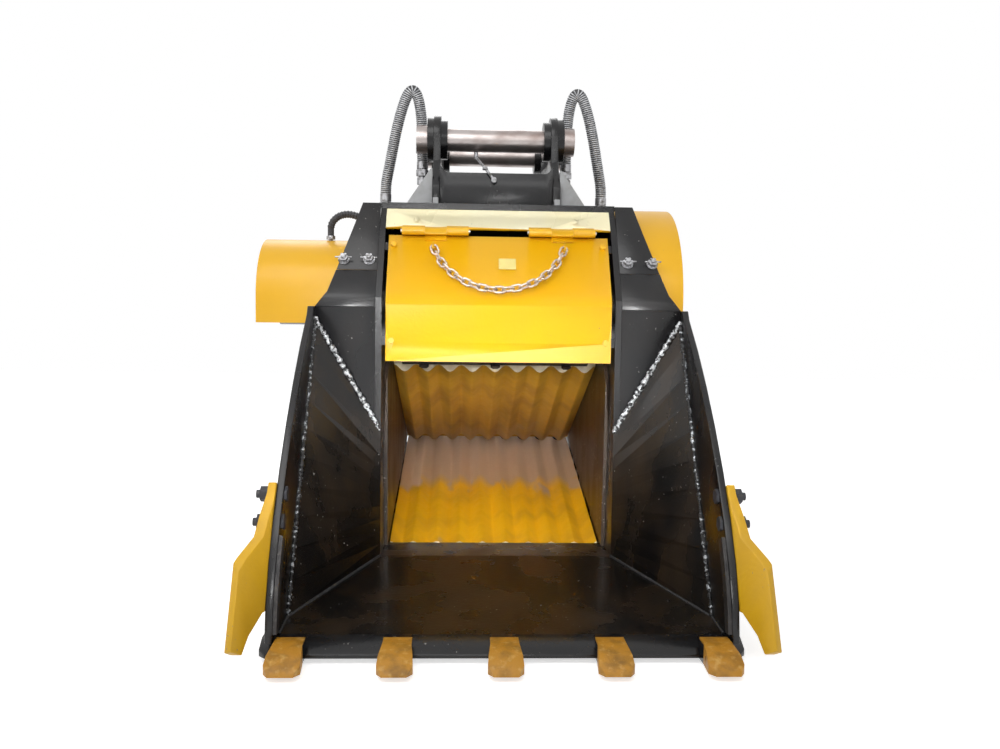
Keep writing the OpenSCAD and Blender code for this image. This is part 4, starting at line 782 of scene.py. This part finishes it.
@dataclass(frozen=True)
class Lamp:
    """A soft rectangular lamp: its place and the place that it lights, on the drawing."""

    name: str
    place: Point
    aim: Point
    size_m: Pair
    watts: float
    spread_deg: float = 180.0

    def hang(self) -> None:
        """Puts the lamp into the scene, turned to its aim."""
        data = bpy.data.lights.new(self.name, "AREA")
        data.shape = "RECTANGLE"
        data.size, data.size_y = self.size_m
        data.energy = self.watts
        data.spread = math.radians(self.spread_deg)
        lamp = bpy.data.objects.new(self.name, data)
        bpy.context.scene.collection.objects.link(lamp)
        place = at(*self.place)
        turn = (at(*self.aim) - place).to_track_quat("-Z", "Y").to_matrix().to_4x4()
        lamp.matrix_world = Matrix.Translation(place) @ turn


@dataclass
class Studio:
    """The camera at the photograph's place, a pale floor and soft lamps."""

    camera_at: Point = (-91.0, -1823.9, 726.1)
    yaw: float = -2.31
    pitch: float = -4.16
    roll: float = -0.80
    focal_px: float = 900.0
    sensor_mm: float = 36.0
    floor_m: float = 14.0
    floor_glow: float = 0.62
    world_seen: float = 1.0
    world_light: float = 0.45
    lamps: tuple[Lamp, ...] = (
        Lamp("key_lamp", (-900, -1500, 3300), (0, 600, 600), (2.6, 1.6), 41.0),
        Lamp("fill_lamp", (-2600, -900, 1900), (0, 600, 600), (1.8, 1.8), 11.0),
        Lamp("front_lamp", (-100, -1750, 950), (0, 1100, 330), (0.9, 0.5), 2.7, 26.0),
        Lamp("strip_lamp", (0, -1620, 2000), (0, 545, 752), (3.0, 0.25), 9.0),
        Lamp("back_lamp", (-600, 3300, 3000), (0, 1100, 900), (2.4, 1.6), 26.0))

    def aim_camera(self) -> None:
        """Makes the camera. It looks along +Y before its yaw, pitch and roll."""
        data = bpy.data.cameras.new("camera")
        data.sensor_width = self.sensor_mm
        data.lens = self.focal_px / IMAGE_W * data.sensor_width
        camera = bpy.data.objects.new("camera", data)
        bpy.context.scene.collection.objects.link(camera)
        turn = Matrix.Identity(4)
        for degrees, axis in ((self.yaw, "Z"), (self.pitch, "X"), (self.roll, "Y"), (90, "X")):
            turn = turn @ Matrix.Rotation(math.radians(degrees), 4, axis)
        camera.matrix_world = Matrix.Translation(at(*self.camera_at)) @ turn
        bpy.context.scene.camera = camera

    def seen_rays(self, tree: bpy.types.NodeTree, seen: float, other: float) -> Socket:
        """A strength that depends on the kind of ray.

        Args:
            tree: The tree that takes the nodes.
            seen: The strength for rays from the camera, mirrors and glass.
            other: The strength for the rest.

        Returns:
            The strength.
        """
        rays = add_node(tree, "ShaderNodeLightPath").outputs
        total = rays["Is Camera Ray"]
        for name in ("Is Glossy Ray", "Is Transmission Ray"):
            total = add_node(tree, "ShaderNodeMath", {0: total, 1: rays[name]}, operation="ADD",
                             use_clamp=True).outputs[0]
        chosen = add_node(tree, "ShaderNodeMapRange", {"Value": total, "To Min": other, "To Max": seen})
        return chosen.outputs[0]

    def lay_floor(self) -> None:
        """A plain white floor under the wear runners; it glows a little to the eye and keeps the shadow."""
        low = CAD_BOX[0][2]
        form = bmesh.new()
        half = self.floor_m / 2
        turns = ((-1, -1), (1, -1), (1, 1), (-1, 1))
        form.faces.new([form.verts.new((x * half, y * half, low)) for x, y in turns])
        floor = new_piece("floor", mesh_of("floor", form))
        material = bpy.data.materials.new("white_paper_floor")
        material.use_nodes = True
        tree = material.node_tree
        tree.nodes.clear()
        surface = add_node(tree, "ShaderNodeBsdfPrincipled", {
            "Base Color": linear("F4F4F4"), "Roughness": 0.9, "Emission Color": linear("FFFFFF"),
            "Emission Strength": self.seen_rays(tree, self.floor_glow, 0.0)})
        add_node(tree, "ShaderNodeOutputMaterial", {"Surface": surface.outputs[0]})
        floor.data.materials.append(material)

    def light_world(self) -> None:
        """A white surround to the eye and in reflections, and a softer one as light."""
        world = bpy.data.worlds.new("studio")
        bpy.context.scene.world = world
        world.use_nodes = True
        tree = world.node_tree
        tree.nodes.clear()
        strength = self.seen_rays(tree, self.world_seen, self.world_light)
        sky = add_node(tree, "ShaderNodeBackground", {"Color": linear("FFFFFF"), "Strength": strength})
        add_node(tree, "ShaderNodeOutputWorld", {"Surface": sky.outputs[0]})

    def build(self) -> None:
        """Sets the scene up."""
        bpy.context.scene.view_settings.view_transform = "Standard"
        self.aim_camera()
        self.lay_floor()
        self.light_world()
        for lamp in self.lamps:
            lamp.hang()


@dataclass
class Mouth:
    """The scoop: lip, floor, side plates, funnel, side cutters and teeth."""

    plate_ease_mm: float = 1.6
    tooth_ease_mm: float = 5.0
    coarse_mm: float = 13.0
    side_mm: float = 10.0
    neat_mm: float = 8.0
    side_in: float = 480.0
    body_half: float = 307.5
    front: float = 534.0
    funnel_top: float = 403.0
    funnel_out: float = 695.0
    funnel_low: Pair = (150.0, 37.0)
    floor_back: float = 68.0
    crease_front: Pair = (62.0, 33.0)

    def dress_plates(self) -> None:
        """The plates, cutters and bars."""
        for node in ("bucket_floor", "front_crossbeam"):
            dress(node, MOUTH_ENAMEL)
        for node in ("funnel_left", "funnel_right"):
            finish_piece(eased(node, 0.0), "frame", MOUTH_ENAMEL, [node])
        for node in ("floor_ribs", "belly_plate", "back_plates"):
            dress(node, BLACK_ENAMEL)
        for node in ("cutting_edge", "outer_side_left", "outer_side_right", "tooth_adapters"):
            finish_piece(eased(node, self.plate_ease_mm), "frame", BLACK_ENAMEL, [node])
        for node in ("side_cutter_left", "side_cutter_right"):
            finish_piece(eased(node, self.plate_ease_mm), "frame", CUTTER_ENAMEL, [node])
        caps = eased("tooth_caps", self.tooth_ease_mm, steps=3)
        finish_piece(caps, "frame", TOOTH_CAST, ["tooth_caps"])
        for node in ("rim_bars", "wear_runners"):
            dress(node, MILL_STEEL)
        for node in ("cutter_bolts", "tooth_pins"):
            dress(node, DARK_CAST)

    def lay_welds(self) -> None:
        """Beads along the funnel's edges and the mouth's creases."""
        top, low, crease = [], [], []
        for side in (-1, 1):
            inner = side * (self.body_half + 2)
            outer = side * (self.side_in - 3)
            foot = at(outer, *self.funnel_low)
            top.append([at(outer, self.front - 2, self.funnel_out),
                        at(inner, self.front - 2, self.funnel_top + 4)])
            low.append([at(outer, self.front - 6, self.funnel_out - 6), foot])
            crease.append([at(side * self.body_half, self.front, self.floor_back + 2), foot])
            crease.append([foot, at(outer, *self.crease_front)])
        for name, lines, width_mm, form, finish in (
                # The funnel's top beads: scraped flecks that are partly a painted highlight of the fold
                # line
                ("funnel_top_welds_with_painted_highlight", top, self.coarse_mm, BeadForm.COARSE, SCRAPED_WELD_AND_PAINTED_HIGHLIGHT),
                ("funnel_side_welds", low, self.side_mm, BeadForm.COARSE, WELD),
                ("floor_welds", crease, self.neat_mm, BeadForm.NEAT, FLOOR_WELD)):
            finish_piece(weld_bead(name, lines, width_mm, form, finish), "frame", finish)

    def build(self) -> None:
        """Dresses the plates and adds the weld beads."""
        self.dress_plates()
        self.lay_welds()


@dataclass
class CrusherBody:
    """The crusher's own housing: side plates, corners, guard plates, deck and cover."""

    corner_ease_mm: float = 1.5
    cover_ease_mm: float = 1.0
    bend: Pair = (540.0, 752.0)
    hinge_line: Pair = (650.0, 934.0)
    label_at: Point = (22.0, 597.0, 846.0)
    label_mm: Pair = (46.0, 34.0)
    label_t: float = 0.6
    label_lift: float = 0.5
    # Height in the model's frame, in millimetres, up to which the strip's knuckles stay yellow
    knuckle_top: float = -304.0

    def stick_label(self) -> None:
        """A bare label of plain film on the cover's slope."""
        along = (at(0, *self.hinge_line) - at(0, *self.bend)).normalized()
        out = Vector((0.0, -along.z, along.y))
        middle = at(*self.label_at) + out * self.label_lift * MM
        half_w, half_h = (side * MM / 2 for side in self.label_mm)
        rings = [[middle + Vector((x * half_w, 0, 0)) + along * y * half_h + out * lift * MM
                  for x, y in ((-1, -1), (1, -1), (1, 1), (-1, 1))] for lift in (0.0, self.label_t)]
        finish_piece(loft("plain_label", rings), "cover", PLAIN_LABEL)

    def build(self) -> None:
        """Dresses the body."""
        for node in ("front_corner_left", "front_corner_right", "guard_plate_left", "guard_plate_right"):
            finish_piece(eased(node, self.corner_ease_mm), "frame", BLACK_ENAMEL, [node])
        for node in ("main_side_left", "main_side_right", "top_deck", "jaw_bed", "rear_crossmember"):
            dress(node, BLACK_ENAMEL)
        for node in ("cheek_left", "cheek_right"):
            dress(node, CHEEK_ENAMEL)
        dress("guard_fasteners", ZINC)
        # The strip takes the cream painted reflection; below knuckle_top its knuckles keep the plain yellow
        strip = finish_piece(eased("top_strip", 0.0), "frame", PAINTED_GLARE_ENAMEL, ["top_strip"])
        second_finish(strip, YELLOW_ENAMEL, lambda centre, normal: centre.z < self.knuckle_top * MM)
        cover = eased("access_cover", self.cover_ease_mm)
        finish_piece(cover, "cover", YELLOW_ENAMEL, ["access_cover"])
        self.stick_label()
        dress("cover_hinge_pins", SHAFT_STEEL)
        dress("cover_chain", CHAIN_ZINC)


@dataclass
class Drive:
    """Shaft, flywheel, motor, pitman and toggle, with the two yellow covers."""

    cover_ease_mm: float = 2.5
    jaw_ease_mm: float = 1.2
    # A jaw's end faces, cream with bare metal and a painted highlight, point this far to the front, as the
    # Y of their normal
    end_normal: float = -0.8

    def build(self) -> None:
        """Dresses the drive."""
        for node in ("flywheel_cover", "motor_cover"):
            cover = eased(node, self.cover_ease_mm, steps=3)
            finish_piece(cover, "frame", YELLOW_ENAMEL, [node])
        for node in ("bearing_housings", "flywheel", "drive_coupling", "adjusting_block", "toggle_plate",
                     "fixed_jaw_clamp", "moving_jaw_clamp"):
            dress(node, DARK_CAST)
        for node in ("main_bearings", "pitman_bearings", "eccentric_shaft", "tension_rod",
                     "tension_spring"):
            dress(node, SHAFT_STEEL)
        for node in ("drive_motor", "motor_bracket"):
            dress(node, BLACK_ENAMEL)
        dress("pitman", CAST_ENAMEL)
        for node, body, finish in (("fixed_jaw", "frame", FIXED_JAW), ("moving_jaw", "pitman", MOVING_JAW)):
            jaw = finish_piece(eased(node, self.jaw_ease_mm), body, finish, [node])
            # Faces turned to the front take the cream finish, partly bare ends and partly a painted
            # highlight of the lit edges
            second_finish(jaw, JAW_ENDS_AND_HIGHLIGHT, lambda centre, normal: normal.y < self.end_normal)


@dataclass
class Coupler:
    """The ears, their plates and the two pins."""

    ear_ease_mm: float = 1.5
    plate_ease_mm: float = 1.2
    # Half the width of the black plates between the ears
    between_ears: float = 170.0

    def build(self) -> None:
        """Dresses the coupler: the plates between the ears are black, the gussets still in primer."""
        ears = eased("coupler_ears", self.ear_ease_mm)
        finish_piece(ears, "frame", BLACK_ENAMEL, ["coupler_ears"])
        plates = eased("coupler_plates", self.plate_ease_mm)
        finish_piece(plates, "frame", GREY_PRIMER, ["coupler_plates"])
        second_finish(plates, BLACK_ENAMEL, lambda centre, normal: abs(centre.x) < self.between_ears * MM)
        dress("coupler_pins", PIN_STEEL)


@dataclass
class Hoses:
    """The pressure hoses in their guard springs, and the drain hose."""

    core_r: float = 16.5
    guard_d: float = 36.0
    guard_pitch: float = 6.4
    route: tuple[Point, ...] = (
        (232, 1132, 1196), (232, 1132, 1232), (233, 1130, 1300), (238, 1124, 1362), (249, 1116, 1408),
        (264, 1112, 1422), (281, 1112, 1406), (300, 1114, 1352), (318, 1118, 1280), (332, 1124, 1205),
        (344, 1132, 1150), (350, 1140, 1122), (350, 1140, 1092))

    def build(self) -> None:
        """Builds the three hoses."""
        for side, node in ((1, "hose_right"), (-1, "hose_left")):
            line = [at(side * x, y, z) for x, y, z in self.route]
            core = tube(f"{node}_core", line, self.core_r, HOSE_RUBBER)
            finish_piece(core, "frame", HOSE_RUBBER)
            guard = ringed_hose(f"{node}_guard", line, self.guard_d, self.guard_pitch, HOSE_GUARD)
            finish_piece(guard, "frame", HOSE_GUARD, [node])
        dress("drain_hose", HOSE_RUBBER)
        dress("hose_fittings", ZINC)


def main() -> None:
    """Builds the scene, sub-assembly by sub-assembly."""
    logging.basicConfig(level=logging.INFO, format="%(message)s")
    for part in (Studio(), Mouth(), CrusherBody(), Drive(), Coupler(), Hoses()):
        part.build()
        log.info("%s is built", type(part).__name__)


if __name__ == "__main__":
    main()
